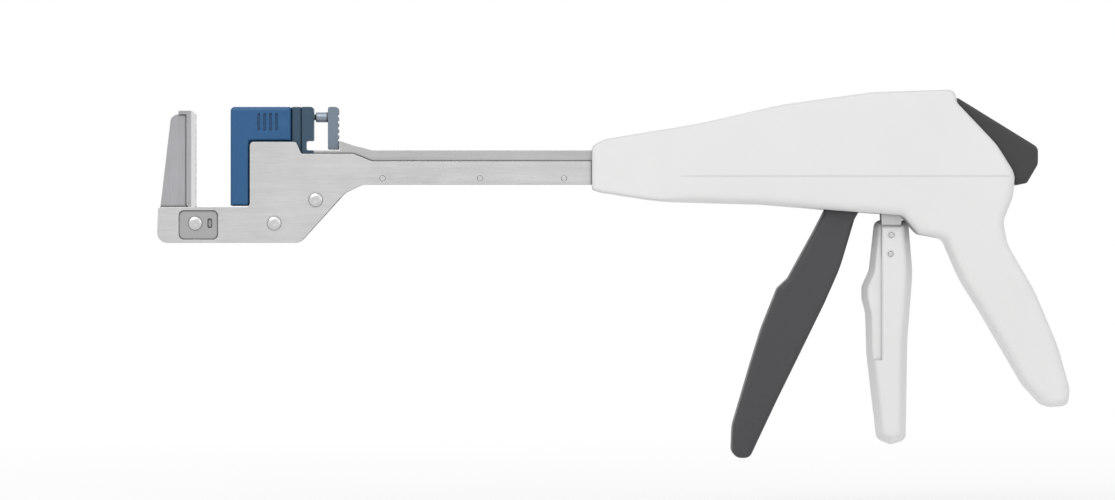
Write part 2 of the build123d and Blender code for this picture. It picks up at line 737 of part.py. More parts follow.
# Closing trigger: a moulded lever whose flanks lean in towards a narrow face
with BuildPart() as closing_trigger:
    with BuildSketch(pivot_plane):
        with BuildLine():
            closing_trigger_outline()
        make_face()
    extrude(amount=closing_trigger_core)
    with BuildSketch(pivot_plane.offset(closing_trigger_core)):
        with BuildLine():
            closing_trigger_outline()
        make_face()
    extrude(amount=closing_trigger_half_width - closing_trigger_core, taper=closing_trigger_taper)
    fillet(closing_trigger.faces().sort_by(Axis.Y)[0].edges(), 2.0)
    # Side rebate where the cheek of the firing trigger nests
    with BuildSketch(pivot_plane.offset(nest_half_width)):
        with Locations((-13.8, -26.0)):
            Rectangle(20.0, 64.0)
    extrude(amount=closing_trigger_half_width - nest_half_width, mode=Mode.SUBTRACT)
    mirror(about=Plane.XZ)
    with BuildSketch(Plane.XZ):
        with Locations(*lever_rivets_at):
            Circle(lever_rivet_radius)
    extrude(amount=closing_trigger_half_width, both=True, mode=Mode.SUBTRACT)
    add(left_closing_lever.part, mode=Mode.SUBTRACT)
    add(right_closing_lever, mode=Mode.SUBTRACT)
save(closing_trigger.part, "closing_trigger")

# Firing trigger: a long U-shaped moulding, open behind, with two cheeks that reach the pivot and the drive pin
with BuildPart() as firing_trigger:
    with BuildSketch(pivot_plane):
        with BuildLine():
            FilletPolyline(
                (-24.8, -3.0),
                (-29.3, -11.6),
                (-38.2, -27.8),
                (-42.2, -31.6),
                (-48.1, -46.4),
                (-52.2, -59.7),
                (-58.9, -82.5),
                (-59.4, -94.2),
                (-52.6, -94.2),
                (-42.6, -73.0),
                (-25.2, -37.5),
                (-19.3, -24.2),
                (-13.0, -3.0),
                radius=[0.5, 20.0, 2.0, 2.5, 40.0, 60.0, 12.0, 3.6, 3.0, 60.0, 60.0, 60.0, 0.5],
                close=True,
            )
        make_face()
    extrude(amount=cheek_outer, both=True)
    fillet(firing_trigger.faces().filter_by(Axis.Y).edges().filter_by(
        lambda edge: edge.center().Z < closing_pivot_z - 6), 1.6)
    with BuildSketch(Plane.XZ.offset(-cheek_outer)):
        with Locations((firing_pivot_x, firing_pivot_z)):
            Circle(lever_hub)
        with Locations((drive_x, drive_z)):
            Circle(2.8)
        make_hull()
    with BuildSketch(Plane.XZ.offset(-cheek_outer)):
        with Locations((firing_pivot_x, firing_pivot_z)):
            Circle(lever_hub)
        with Locations((closing_pivot_x - 19.2, closing_pivot_z - 4.0)):
            Circle(5.6)
        make_hull()
    extrude(amount=2 * cheek_outer)
    # The hollow behind the finger wall
    with BuildSketch(pivot_plane):
        with BuildLine():
            Polyline(
                (-46.0, 39.0),
                (-46.0, 0.0),
                (-22.5, -3.5),
                (-26.6, -11.4),
                (-35.6, -28.0),
                (-39.6, -32.4),
                (-45.4, -46.8),
                (-49.4, -60.0),
                (-54.8, -79.5),
                (4.0, -79.5),
                (4.0, 39.0),
                close=True,
            )
        make_face()
    extrude(amount=cheek_inner, both=True, mode=Mode.SUBTRACT)
    with BuildSketch(Plane.XZ):
        with Locations((firing_pivot_x, firing_pivot_z)):
            Circle(stud_radius + running)
        with Locations((drive_x, drive_z)):
            Circle(drive_pin_radius)
    extrude(amount=cheek_outer, both=True, mode=Mode.SUBTRACT)
save(firing_trigger.part, "firing_trigger")

# Release button and its latch pawl
button_hinge = (-21.6, 70.4)
button_pin_radius = 1.0
button_spring_z = 50.0
button_spring_rear_x = -8.7
with BuildPart() as release_button:
    with BuildSketch(Plane.XZ):
        with BuildLine():
            FilletPolyline(
                (-19.6, 74.6),
                (9.9, 56.4),
                (9.9, 50.2),
                (5.8, 43.2),
                (2.0, 42.4),
                (-5.0, 45.0),
                (-13.0, 54.5),
                (-25.4, 67.6),
                (-25.4, 73.6),
                radius=[0.8, 3.0, 4.0, 1.6, 0.8, 1.5, 10.0, 1.5, 1.2],
                close=True,
            )
        make_face()
    extrude(amount=button_half_width, both=True)
    fillet(release_button.faces().filter_by(Axis.Y).edges().filter_by(
        lambda edge: edge.center().X > -8), 1.5)
    # Pocket for the pawl and blind hole for the spring
    with BuildSketch(Plane.XZ):
        with Locations((button_hinge[0] - 3.5, button_hinge[1] - 2.2)):
            Rectangle(13.0, 10.2)
    extrude(amount=4.4, both=True, mode=Mode.SUBTRACT)
    with BuildSketch(Plane.YZ.offset(button_spring_rear_x)):
        with Locations((0, button_spring_z)):
            Circle(3.0)
    extrude(amount=-14.0, mode=Mode.SUBTRACT)
    with BuildSketch(Plane.XZ):
        with Locations(button_hinge):
            Circle(button_pin_radius + running)
    extrude(amount=button_half_width, both=True, mode=Mode.SUBTRACT)
save(release_button.part, "release_button")

pawl_tip = (ear_front_x + 1.1, ear_top_z + 2.2)
pawl_bend = (pawl_tip[0] + 6.4, pawl_tip[1] + 2.2)
with BuildPart() as latch_pawl:
    with BuildSketch(Plane.XZ):
        with Locations(button_hinge):
            Circle(2.2)
        with Locations(pawl_bend):
            Circle(1.6)
        make_hull()
    with BuildSketch(Plane.XZ):
        with Locations(pawl_bend):
            Circle(1.6)
        with Locations(pawl_tip):
            Circle(1.5)
        make_hull()
    extrude(amount=4.2, both=True)
    with BuildSketch(Plane.XZ):
        with Locations(pawl_tip):
            Rectangle(12.0, 10.0)
    extrude(amount=2.4, both=True, mode=Mode.SUBTRACT)
    with BuildSketch(Plane.XZ):
        with Locations(button_hinge):
            Circle(button_pin_radius + running)
    extrude(amount=5.0, both=True, mode=Mode.SUBTRACT)
save(latch_pawl.part, "latch_pawl")
cross_pins("button_pin", [button_hinge], button_pin_radius, pin_reach)

with BuildPart() as button_spring:
    coil((button_spring_rear_x - 9.4, 0, button_spring_z), 9.2, 4, 2.2, 0.5)
save(button_spring.part, "button_spring")

closure_spring_z = barrel_top_z + 4.55
closure_spring_rear_x = ear_front_x - 16.9
closure_spring_front_x = closure_spring_rear_x - 41.6
with BuildPart() as closure_spring:
    coil((closure_spring_front_x + 0.4, 0, closure_spring_z),
         closure_spring_rear_x - closure_spring_front_x - 0.8, 10, 3.0, spring_wire)
save(closure_spring.part, "closure_spring")

# Handle: two moulded halves, cut from one outer form and one cavity
handle_top_z = 77.6


def handle_outline():
    """The side view of the handle as one closed line."""
    FilletPolyline(
        (nose_x, barrel_bottom_z - 1.85),
        (nose_x, barrel_top_z + 1.45),
        (nose_x + 4.2, barrel_top_z + 3.85),
        (nose_x + 40.0, handle_top_z - 12.3),
        (-85.1, handle_top_z - 5.6),
        (-52.0, handle_top_z - 1.0),
        (-21.3, handle_top_z),
        (-20.2, handle_top_z - 5.0),
        (-5.6, 57.2),
        (1.0, 46.6),
        (0.4, 38.5),
        (-3.3, 29.0),
        (-1.8, 20.6),
        (8.1, 3.7),
        (16.7, -16.7),
        (21.3, -33.0),
        (20.4, -38.9),
        (12.3, -39.5),
        (5.0, -31.5),
        (-11.1, -3.9),
        (-18.3, 7.4),
        (-24.8, 22.6),
        (closing_pivot_x + 9.6, closing_pivot_z - 11.6),
        (closing_pivot_x + 3.5, closing_pivot_z - 4.7),
        (closing_pivot_x - 16.0, closing_pivot_z - 3.3),
        (-92.5, 35.3),
        (nose_x + 25.2, 36.3),
        (nose_x + 3.0, barrel_bottom_z - 2.85),
        radius=[1.0, 2.0, 8.0, 100.0, 100.0, 60.0, 3.0, 2.0, 30.0, 8.0, 10.0, 6.0, 15.0, 60.0,
                60.0, 12.0, 3.0, 4.0, 10.0, 100.0, 60.0, 4.0, 3.0, 3.0, 20.0, 60.0, 100.0, 2.0],
        close=True,
    )


def handle_plan():
    """The top view of the handle, which narrows to the nose, as one closed line."""
    FilletPolyline(
        (nose_x - 1, nose_half_width),
        (nose_x + 34, body_half_width),
        (30, body_half_width),
        (30, -body_half_width),
        (nose_x + 34, -body_half_width),
        (nose_x - 1, -nose_half_width),
        radius=[0.5, 60.0, 0.5, 0.5, 60.0, 0.5],
        close=True,
    )


with BuildPart() as handle_form:
    with BuildSketch(Plane.XZ):
        with BuildLine():
            handle_outline()
        make_face()
    extrude(amount=body_half_width, both=True)
    fillet(handle_form.faces().filter_by(Axis.Y).edges(), edge_radius)
    with BuildSketch(Plane.XY):
        with BuildLine():
            handle_plan()
        make_face()
    extrude(amount=handle_top_z + 1, both=True, mode=Mode.INTERSECT)
    # The upper panel leans in above a ledge along each side.
    for side in (-1, 1):
        with BuildSketch(Plane.YZ.offset(nose_x - 1)):
            with BuildLine():
                Polyline(
                    (side * (body_half_width + 1), panel_line_z),
                    (side * (body_half_width - panel_inset), panel_line_z),
                    (side * (body_half_width - panel_inset - panel_lean), handle_top_z + 2.4),
                    (side * (body_half_width + 1), handle_top_z + 2.4),
                    close=True,
                )
            make_face()
        extrude(amount=30 - nose_x, mode=Mode.SUBTRACT)

with BuildPart() as handle_cavity:
    with BuildSketch(Plane.XZ):
        with BuildLine():
            handle_outline()
        make_face()
        offset(amount=-shell_wall)
    extrude(amount=cavity_half_width, both=True)
    with BuildSketch(Plane.XY):
        with BuildLine():
            handle_plan()
        make_face()
        offset(amount=-shell_wall)
    extrude(amount=handle_top_z + 1, both=True, mode=Mode.INTERSECT)

trigger_slot_front_x = closing_pivot_x - 27.5
trigger_slot_rear_x = closing_pivot_x + 17.0
trigger_slot_half_width = cheek_outer + free
post_places = [(-106.0, 39.2), (-66.0, handle_top_z - 8.1), (-7.0, 12.0), (9.0, -18.0)]
post_radius = 1.6
button_rib_x = button_spring_rear_x - 9.6
with BuildPart() as handle_shell:
    add(handle_form.part)
    add(handle_cavity.part, mode=Mode.SUBTRACT)
    # Ribs behind the button spring and in front of the closure spring
    with BuildSketch(Plane.YZ.offset(button_rib_x)):
        with Locations((0, button_spring_z)):
            Rectangle(2 * cavity_half_width + 1, 8.0)
    extrude(amount=-1.6)
    with BuildSketch(Plane.YZ.offset(closure_spring_front_x - 1.6)):
        with Locations((0, closure_spring_z + 0.6)):
            Rectangle(2 * cavity_half_width + 1, 7.6)
    extrude(amount=1.6)
    # Trigger slot, nose opening and button slot
    with BuildSketch(Plane.XY.offset(closing_pivot_z - 16.0)):
        with Locations(((trigger_slot_front_x + trigger_slot_rear_x) / 2, 0)):
            Rectangle(trigger_slot_rear_x - trigger_slot_front_x, 2 * trigger_slot_half_width)
    extrude(amount=16.0, mode=Mode.SUBTRACT)
    with BuildSketch(Plane.YZ.offset(nose_x - 1)):
        with Locations((0, barrel_z)):
            Rectangle(2 * (plate_outer + free), barrel_height + 2 * free)
    extrude(amount=6.0, mode=Mode.SUBTRACT)
    with BuildSketch(Plane.XZ):
        with BuildLine():
            Polyline(
                (-27.0, handle_top_z - shell_wall),
                (0.0, handle_top_z - shell_wall),
                (25.0, 50.0),
                (8.0, 39.6),
                (-4.5, 39.6),
                (-15.0, 50.0),
                (-27.0, 64.0),
                close=True,
            )
        make_face()
    extrude(amount=button_half_width + free, both=True, mode=Mode.SUBTRACT)


def shell_half(side, name):
    """One half of the handle with its bosses; side is -1 for the left half and 1 for the right."""
    with BuildPart() as half:
        add(handle_shell.part)
        split(bisect_by=Plane.XZ, keep=Keep.TOP if side < 0 else Keep.BOTTOM)
        wall_y = cavity_half_width + 1.0
        bosses = [
            ((closing_pivot_x, closing_pivot_z), lever_outer + 0.3, boss_radius, pivot_pin_radius, pin_reach),
            (button_hinge, button_half_width + free, 2.4, button_pin_radius, pin_reach),
        ]
        bosses += [(place, plate_outer + sliding, anchor_pin_radius + 1.6, anchor_pin_radius, pin_reach)
                   for place in anchor_pins_at]
        bosses += [(place, 0.1, post_radius + 1.4, post_radius, 8.0) for place in post_places]
        for place, start_y, radius, bore_radius, bore_y in bosses:
            with BuildSketch(Plane.XZ.offset(-side * start_y)) as boss:
                with Locations(place):
                    Circle(radius)
            extrude(boss.sketch, amount=-side * (wall_y - start_y))
            with BuildSketch(Plane.XZ) as bore:
                with Locations(place):
                    Circle(bore_radius)
            extrude(bore.sketch, amount=-side * bore_y, mode=Mode.SUBTRACT)
        if side < 0:
            with BuildSketch(Plane.XZ.offset(8.0)) as posts:
                with Locations(*post_places):
                    Circle(post_radius)
            extrude(posts.sketch, amount=-12.0)
    save(half.part, name)


shell_half(-1, "left_handle_shell")
shell_half(1, "right_handle_shell")
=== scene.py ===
import logging
import math
from dataclasses import dataclass, field, replace
from enum import Enum

import bpy
import numpy as np
from bpy.types import Material, Node, NodeOutputs, NodeSocket, NodeTree, Object
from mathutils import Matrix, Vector


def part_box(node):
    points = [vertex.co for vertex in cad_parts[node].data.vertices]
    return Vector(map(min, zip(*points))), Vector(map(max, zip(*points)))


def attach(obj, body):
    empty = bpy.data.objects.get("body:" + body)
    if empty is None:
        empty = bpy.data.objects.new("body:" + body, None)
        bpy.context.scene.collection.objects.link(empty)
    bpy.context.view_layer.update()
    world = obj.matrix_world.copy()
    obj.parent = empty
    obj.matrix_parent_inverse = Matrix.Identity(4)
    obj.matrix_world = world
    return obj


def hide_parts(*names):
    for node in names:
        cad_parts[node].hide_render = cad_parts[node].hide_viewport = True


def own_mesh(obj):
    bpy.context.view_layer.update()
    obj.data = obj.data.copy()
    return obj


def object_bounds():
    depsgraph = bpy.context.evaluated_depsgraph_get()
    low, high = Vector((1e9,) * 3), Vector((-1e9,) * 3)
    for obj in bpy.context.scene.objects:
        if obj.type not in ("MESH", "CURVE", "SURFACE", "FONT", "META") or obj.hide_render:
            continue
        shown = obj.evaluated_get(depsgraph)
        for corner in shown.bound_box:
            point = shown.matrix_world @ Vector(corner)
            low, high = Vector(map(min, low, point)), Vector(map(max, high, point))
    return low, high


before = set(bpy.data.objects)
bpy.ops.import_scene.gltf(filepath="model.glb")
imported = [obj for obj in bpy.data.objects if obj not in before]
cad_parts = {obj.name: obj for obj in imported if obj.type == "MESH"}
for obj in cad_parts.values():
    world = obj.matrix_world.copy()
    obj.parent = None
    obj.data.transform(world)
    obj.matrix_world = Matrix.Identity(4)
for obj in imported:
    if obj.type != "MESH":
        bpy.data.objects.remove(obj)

log = logging.getLogger("linear_stapler")

Point = tuple[float, float, float]
Colour = tuple[float, float, float, float]

MM = 0.001
CAD_BOX = [list(corner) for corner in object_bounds()]

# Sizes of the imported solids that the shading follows
ANVIL_DEPTH = 13.3 * MM
PALE_BAND_DEPTH = 2.0 * MM
FOOT_HEIGHT = 13.3 * MM
RECESS_WIDTH = 14.6 * MM
RECESS_OFFSET = 1.2 * MM
RECESS_MARGIN = 1.2 * MM
RECESS_LIP = 0.1 * MM
BEYOND = 1.0
NOWHERE = (BEYOND, BEYOND, BEYOND)

# Blocks painted another colour, by their low and high corners: a paler band behind the anvil's face, and
# painted shade in the plate's recess
ANVIL_FACE_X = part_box("anvil")[0].x + ANVIL_DEPTH
ANVIL_FACE = ((ANVIL_FACE_X - PALE_BAND_DEPTH, -BEYOND, -BEYOND), (ANVIL_FACE_X, BEYOND, BEYOND))
RECESS_X = ANVIL_FACE_X + RECESS_OFFSET
PLATE_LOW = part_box("left_frame_plate")[0]
# The plate's recess is painted darker: painted shade.
PLATE_RECESS = (
    (RECESS_X - RECESS_WIDTH / 2, -BEYOND, PLATE_LOW.z + RECESS_MARGIN),
    (RECESS_X + RECESS_WIDTH / 2, -PLATE_LOW.y - RECESS_LIP, PLATE_LOW.z + FOOT_HEIGHT - RECESS_MARGIN),
)


class Lay(Enum):
    """Directions that brushing or grinding can run in, as stretches of the noise along X, Y and Z."""

    LENGTHWISE = (0.03, 1.0, 1.0)
    UPRIGHT = (1.0, 1.0, 0.03)
    TURNED = (1.0, 0.12, 0.12)


class Kind(Enum):
    """Socket types of a shader node group."""

    COLOUR = "NodeSocketColor"
    VALUE = "NodeSocketFloat"
    VECTOR = "NodeSocketVector"


@dataclass
class ShaderTree:
    """A shader node tree under construction.

    Attributes:
        tree: Blender's node tree.
    """

    tree: NodeTree

    def link(self, value: object, socket: NodeSocket) -> None:
        """Lead a value to an input.

        Args:
            value: A socket to link, a constant to set, or None to leave the input alone.
            socket: The input.
        """
        if isinstance(value, NodeSocket):
            self.tree.links.new(value, socket)
        elif value is not None:
            socket.default_value = value

    def fill(self, node: Node, values: dict[str | int, object]) -> Node:
        """Lead values to a node's inputs.

        Args:
            node: The node.
            values: Input names or places with sockets or constants.

        Returns:
            The same node.
        """
        for key, value in values.items():
            self.link(value, node.inputs[key])
        return node

    def add(self, kind: str, values: dict[str | int, object] | None = None, **settings: object) -> Node:
        """Add a node.

        Args:
            kind: Blender's node type name.
            values: Input names or places with sockets or constants.
            settings: Attributes to set on the node.

        Returns:
            The new node.
        """
        node = self.tree.nodes.new(kind)
        for key, setting in settings.items():
            setattr(node, key, setting)
        return self.fill(node, values or {})

    def maths(self, operation: str, first: object, second: object = None, clamp: bool = False) -> NodeSocket:
        """Add a Math node.

        Args:
            operation: Blender's name for the operation.
            first: A socket or a number.
            second: A socket, a number or None.
            clamp: Whether the result is held between 0 and 1.

        Returns:
            The node's output socket.
        """
        node = self.add("ShaderNodeMath", {0: first, 1: second}, operation=operation, use_clamp=clamp)
        return node.outputs[0]

    def mix(self, factor: NodeSocket, first: object, second: object) -> NodeSocket:
        """Add a colour Mix node.

        Args:
            factor: The socket that blends from the first colour to the second.
            first: A colour socket or a colour.
            second: A colour socket or a colour.

        Returns:
            The node's colour output.
        """
        return self.add("ShaderNodeMix", {0: factor, 6: first, 7: second}, data_type="RGBA").outputs[2]

    def layer(self, factor: NodeSocket, first: NodeSocket, second: NodeSocket) -> NodeSocket:
        """Add a Mix Shader node.

        Args:
            factor: The socket that blends from the first shader to the second.
            first: A shader's output.
            second: A shader's output.

        Returns:
            The mixed shader.
        """
        return self.add("ShaderNodeMixShader", {0: factor, 1: first, 2: second}).outputs[0]

    def noise(self, place: NodeSocket, scale: object, detail: float, roughness: float = 0.5) -> NodeSocket:
        """Add a Noise texture read at a place.

        Args:
            place: The coordinates.
            scale: A socket or a number, in cells per metre.
            detail: How many octaves it has.
            roughness: How strong the fine octaves are.

        Returns:
            The noise value, centred on 0.5.
        """
        values = {"Vector": place, "Scale": scale, "Detail": detail, "Roughness": roughness}
        return self.add("ShaderNodeTexNoise", values).outputs["Fac"]

    def here(self) -> NodeSocket:
        """The coordinates on the object itself, in metres."""
        return self.add("ShaderNodeTexCoord").outputs["Object"]

    def split(self, vector: NodeSocket) -> NodeOutputs:
        """The outputs X, Y and Z of a vector."""
        return self.add("ShaderNodeSeparateXYZ", {0: vector}).outputs


@dataclass
class NodeGroup(ShaderTree):
    """A shader node group under construction.

    Attributes:
        name: The name that the group gets in the file.
        inputs: Socket names with their kinds and default values.
        outputs: Socket names with their kinds.
        given: The sockets that bring the inputs in.
        sink: The node that takes the results.
    """

    tree: NodeTree = field(init=False)
    name: str
    inputs: list[tuple[str, Kind, object]]
    outputs: list[tuple[str, Kind]]
    given: NodeOutputs = field(init=False)
    sink: Node = field(init=False)

    def __post_init__(self) -> None:
        """Make the group's sockets and its two end nodes."""
        self.tree = bpy.data.node_groups.new(self.name, "ShaderNodeTree")
        sockets = self.tree.interface
        for label, kind, default in self.inputs:
            sockets.new_socket(label, in_out="INPUT", socket_type=kind.value).default_value = default
        for label, kind in self.outputs:
            sockets.new_socket(label, in_out="OUTPUT", socket_type=kind.value)
        self.given = self.add("NodeGroupInput").outputs
        self.sink = self.add("NodeGroupOutput")

    def deliver(self, results: dict[str, NodeSocket]) -> NodeTree:
        """Lead the results to the group's outputs.

        Args:
            results: Output names with their sockets.

        Returns:
            The finished group.
        """
        self.fill(self.sink, results)
        return self.tree


def grey(level: float) -> Colour:
    """A neutral colour of one level."""
    return (level, level, level, 1.0)


def moulded_grain_group() -> NodeTree:
    """Build the surface of a moulding: spark-eroded grain, soft flow shading and light scuffs.

    The scuffs are 4 x (scratch noise - 0.66), held between 0 and 1. The roughness varies by 0.22 x (grain -
    0.5), and a scuff takes 0.1 from it.

    Returns:
        The node group.
    """
    group = NodeGroup(
        "moulded_grain",
        [
            ("Colour", Kind.COLOUR, grey(0.8)),
            ("Flow Colour", Kind.COLOUR, grey(0.75)),
            ("Scuff Colour", Kind.COLOUR, grey(0.9)),
            ("Grain Scale", Kind.VALUE, 2600.0),
            ("Roughness", Kind.VALUE, 0.5),
            ("Scuff", Kind.VALUE, 0.2),
        ],
        [("Colour", Kind.COLOUR), ("Roughness", Kind.VALUE), ("Height", Kind.VALUE)],
    )
    place, given = group.here(), group.given
    grain = group.noise(place, scale=given["Grain Scale"], detail=3.0, roughness=0.6)
    flow = group.noise(place, scale=24.0, detail=2.0)
    stretched = group.add("ShaderNodeMapping", {
        "Vector": place, "Rotation": (0.3, 0.5, 0.9), "Scale": (60.0, 900.0, 60.0),
    })
    scratch = group.noise(stretched.outputs[0], scale=1.0, detail=2.0)
    scuff = group.maths("MULTIPLY", group.maths("SUBTRACT", scratch, 0.66, True), 4.0, True)
    scuff = group.maths("MULTIPLY", scuff, given["Scuff"], True)
    shaded = group.mix(flow, given["Colour"], given["Flow Colour"])
    uneven = group.maths("MULTIPLY", group.maths("SUBTRACT", grain, 0.5), 0.22)
    rough = group.maths("ADD", given["Roughness"], uneven)
    return group.deliver({
        "Colour": group.mix(scuff, shaded, given["Scuff Colour"]),
        "Roughness": group.maths("SUBTRACT", rough, group.maths("MULTIPLY", scuff, 0.1), True),
        "Height": grain,
    })


def brushed_lay_group() -> NodeTree:
    """Build the surface of brushed steel: fine streaks along one direction over soft patches.

    The blend of its two colours is 2.6 x (0.55 x streak + 0.3 x broad streak + 0.15 x patch - 0.32), held
    between 0 and 1. The roughness varies by 0.2 x (patch - 0.5) + 0.25 x (streak - 0.5).

    Returns:
        The node group.
    """
    group = NodeGroup(
        "brushed_lay",
        [
            ("Colour", Kind.COLOUR, grey(0.6)),
            ("Streak Colour", Kind.COLOUR, grey(0.5)),
            ("Stretch", Kind.VECTOR, (1.0, 1.0, 1.0)),
            ("Streak Scale", Kind.VALUE, 5200.0),
            ("Roughness", Kind.VALUE, 0.35),
        ],
        [("Colour", Kind.COLOUR), ("Roughness", Kind.VALUE), ("Height", Kind.VALUE)],
    )
    place, given = group.here(), group.given
    stretched = group.add(
        "ShaderNodeVectorMath", {0: place, 1: given["Stretch"]}, operation="MULTIPLY",
    ).outputs[0]
    streak = group.noise(stretched, scale=given["Streak Scale"], detail=4.0, roughness=0.7)
    broad = group.noise(stretched, scale=420.0, detail=2.0)
    patch = group.noise(place, scale=70.0, detail=3.0)
    blend = group.maths("ADD", group.maths("MULTIPLY", streak, 0.55), group.maths("MULTIPLY", broad, 0.3))
    blend = group.maths("ADD", blend, group.maths("MULTIPLY", patch, 0.15))
    contrast = group.maths("MULTIPLY", group.maths("SUBTRACT", blend, 0.32), 2.6, True)
    rough = group.maths("MULTIPLY", group.maths("SUBTRACT", patch, 0.5), 0.2)
    rough = group.maths("ADD", rough, group.maths("MULTIPLY", group.maths("SUBTRACT", streak, 0.5), 0.25))
    return group.deliver({
        "Colour": group.mix(contrast, given["Streak Colour"], given["Colour"]),
        "Roughness": group.maths("ADD", rough, given["Roughness"], True),
        "Height": streak,
    })


def edge_wear_and_painted_shade_group() -> NodeTree:
    """Build edges lightened partly by wearing and partly as a painted highlight, broken up by noise, and
    painted shade in crevices and joints.

    The edge mask is 7 x how far the normal rounded over a small radius departs from the true one, times
    1.3 x noise - 0.15; it paints edges lighter, partly as wearing and partly as a painted highlight. The
    painted shade adds a broad ambient occlusion over 2.2 mm, to the power 1.6, to a narrow one over 0.8 mm,
    which paints the joints between pieces darker as painted shade. Edges are rubbed smoother and crevices
    are duller.

    Returns:
        The node group.
    """
    group = NodeGroup(
        "edge_wear_and_painted_shade",
        [
            ("Colour", Kind.COLOUR, grey(0.6)),
            ("Edge Colour", Kind.COLOUR, grey(0.8)),
            ("Crevice Colour", Kind.COLOUR, grey(0.3)),
            ("Edge", Kind.VALUE, 0.5),
            ("Crevice", Kind.VALUE, 0.5),
            ("Seam", Kind.VALUE, 0.5),
            ("Roughness", Kind.VALUE, 0.5),
        ],
        [("Colour", Kind.COLOUR), ("Roughness", Kind.VALUE)],
    )
    given = group.given
    rounded = group.add("ShaderNodeBevel", {"Radius": 0.35 * MM}, samples=4).outputs[0]
    normal = group.add("ShaderNodeNewGeometry").outputs["Normal"]
    alike = group.add("ShaderNodeVectorMath", {0: rounded, 1: normal}, operation="DOT_PRODUCT")
    # Edges painted lighter: partly wearing, partly a painted highlight.
    edge = group.maths("MULTIPLY", group.maths("SUBTRACT", 1.0, alike.outputs["Value"]), 7.0, True)
    spots = group.noise(group.here(), scale=700.0, detail=3.0)
    breakup = group.maths("ADD", group.maths("MULTIPLY", spots, 1.3), -0.15, True)
    mask = group.maths("MULTIPLY", group.maths("MULTIPLY", edge, breakup), given["Edge"], True)
    # Painted shade: ambient occlusion darkens crevices and the joints between pieces.
    broad = group.add("ShaderNodeAmbientOcclusion", {"Distance": 2.2 * MM}, samples=6).outputs["AO"]
    painted_shade = group.maths("POWER", group.maths("SUBTRACT", 1.0, broad, True), 1.6)
    painted_shade = group.maths("MULTIPLY", painted_shade, given["Crevice"], True)
    narrow = group.add("ShaderNodeAmbientOcclusion", {"Distance": 0.8 * MM}, samples=6).outputs["AO"]
    closed = group.maths("SUBTRACT", 1.0, narrow, True)
    painted_shade = group.maths("ADD", painted_shade, group.maths("MULTIPLY", closed, given["Seam"], True), True)
    polish = group.maths("SUBTRACT", 1.0, group.maths("MULTIPLY", mask, 0.35))
    dust = group.maths("ADD", 1.0, group.maths("MULTIPLY", painted_shade, 0.3))
    worn_and_painted_light = group.mix(mask, given["Colour"], given["Edge Colour"])
    return group.deliver({
        "Colour": group.mix(painted_shade, worn_and_painted_light, given["Crevice Colour"]),
        "Roughness": group.maths("MULTIPLY", given["Roughness"], group.maths("MULTIPLY", polish, dust), True),
    })


def parting_line_group() -> NodeTree:
    """Build the fine dark line where two moulded halves meet on the mid-plane.

    The line's strength is 1 - |y| / half width, held between 0 and 1.

    Returns:
        The node group.
    """
    group = NodeGroup(
        "parting_line",
        [
            ("Colour", Kind.COLOUR, grey(0.8)),
            ("Line Colour", Kind.COLOUR, grey(0.3)),
            ("Half Width", Kind.VALUE, 0.12 * MM),
        ],
        [("Colour", Kind.COLOUR)],
    )
    given = group.given
    distance = group.maths("ABSOLUTE", group.split(group.here())["Y"])
    line = group.maths("SUBTRACT", 1.0, group.maths("DIVIDE", distance, given["Half Width"]), True)
    return group.deliver({"Colour": group.mix(line, given["Colour"], given["Line Colour"])})


def toned_block_group() -> NodeTree:
    """Build a block of the piece that is painted another colour: a paler band, or painted shade in a recess.

    Its share is the distance inside the block over the blend, held between 0 and 1. Y is measured from the
    mid-plane, so that both sides are alike.

    Returns:
        The node group.
    """
    group = NodeGroup(
        "ground_face",
        [
            ("Colour", Kind.COLOUR, grey(0.5)),
            ("Face Colour", Kind.COLOUR, grey(0.8)),
            ("Low", Kind.VECTOR, NOWHERE),
            ("High", Kind.VECTOR, NOWHERE),
            ("Blend", Kind.VALUE, 0.3 * MM),
        ],
        [("Colour", Kind.COLOUR)],
    )
    given = group.given
    place, low, high = group.split(group.here()), group.split(given["Low"]), group.split(given["High"])
    inside = BEYOND
    for axis in "XYZ":
        along = group.maths("ABSOLUTE", place[axis]) if axis == "Y" else place[axis]
        inside = group.maths("MINIMUM", inside, group.maths("SUBTRACT", along, low[axis]))
        inside = group.maths("MINIMUM", inside, group.maths("SUBTRACT", high[axis], along))
    share = group.maths("DIVIDE", inside, given["Blend"], True)
    return group.deliver({"Colour": group.mix(share, given["Colour"], given["Face Colour"])})


def soft_relief_group() -> NodeTree:
    """Build the normal of a surface whose edges are shaded as rounded and whose grain stands up.

    Returns:
        The node group.
    """
    group = NodeGroup(
        "soft_relief",
        [
            ("Height", Kind.VALUE, 0.5),
            ("Relief", Kind.VALUE, 0.04 * MM),
            ("Softness", Kind.VALUE, 0.4 * MM),
        ],
        [("Normal", Kind.VECTOR)],
    )
    given = group.given
    rounded = group.add("ShaderNodeBevel", {"Radius": given["Softness"]}, samples=6)
    bump = group.add("ShaderNodeBump", {
        "Strength": 0.6, "Distance": given["Relief"], "Height": given["Height"], "Normal": rounded.outputs[0],
    })
    return group.deliver({"Normal": bump.outputs["Normal"]})


def new_material(name: str) -> tuple[Material, ShaderTree, Node]:
    """Start a material.

    Args:
        name: The material's name.

    Returns:
        The material, its tree and its Principled node.
    """
    material = bpy.data.materials.new(name)
    material.use_nodes = True
    return material, ShaderTree(material.node_tree), material.node_tree.nodes["Principled BSDF"]


@dataclass(frozen=True)
class WearAndPaintedShade:
    """How a finish's edges are lightened by wearing and by a painted highlight, and how painted shade darkens
    its crevices and joints.

    Attributes:
        edge: Strength of the edges lightened by wearing and by a painted highlight.
        crevice: Strength of the broad painted shade in crevices.
        seam: Strength of the narrow painted shade along joints.
        worn_edge_and_highlight_colour: Colour of an edge, lightened by wearing and as a painted highlight.
        crevice_shade_colour: Colour of the painted shade in a crevice.
    """

    edge: float
    crevice: float
    seam: float
    worn_edge_and_highlight_colour: Colour
    crevice_shade_colour: Colour


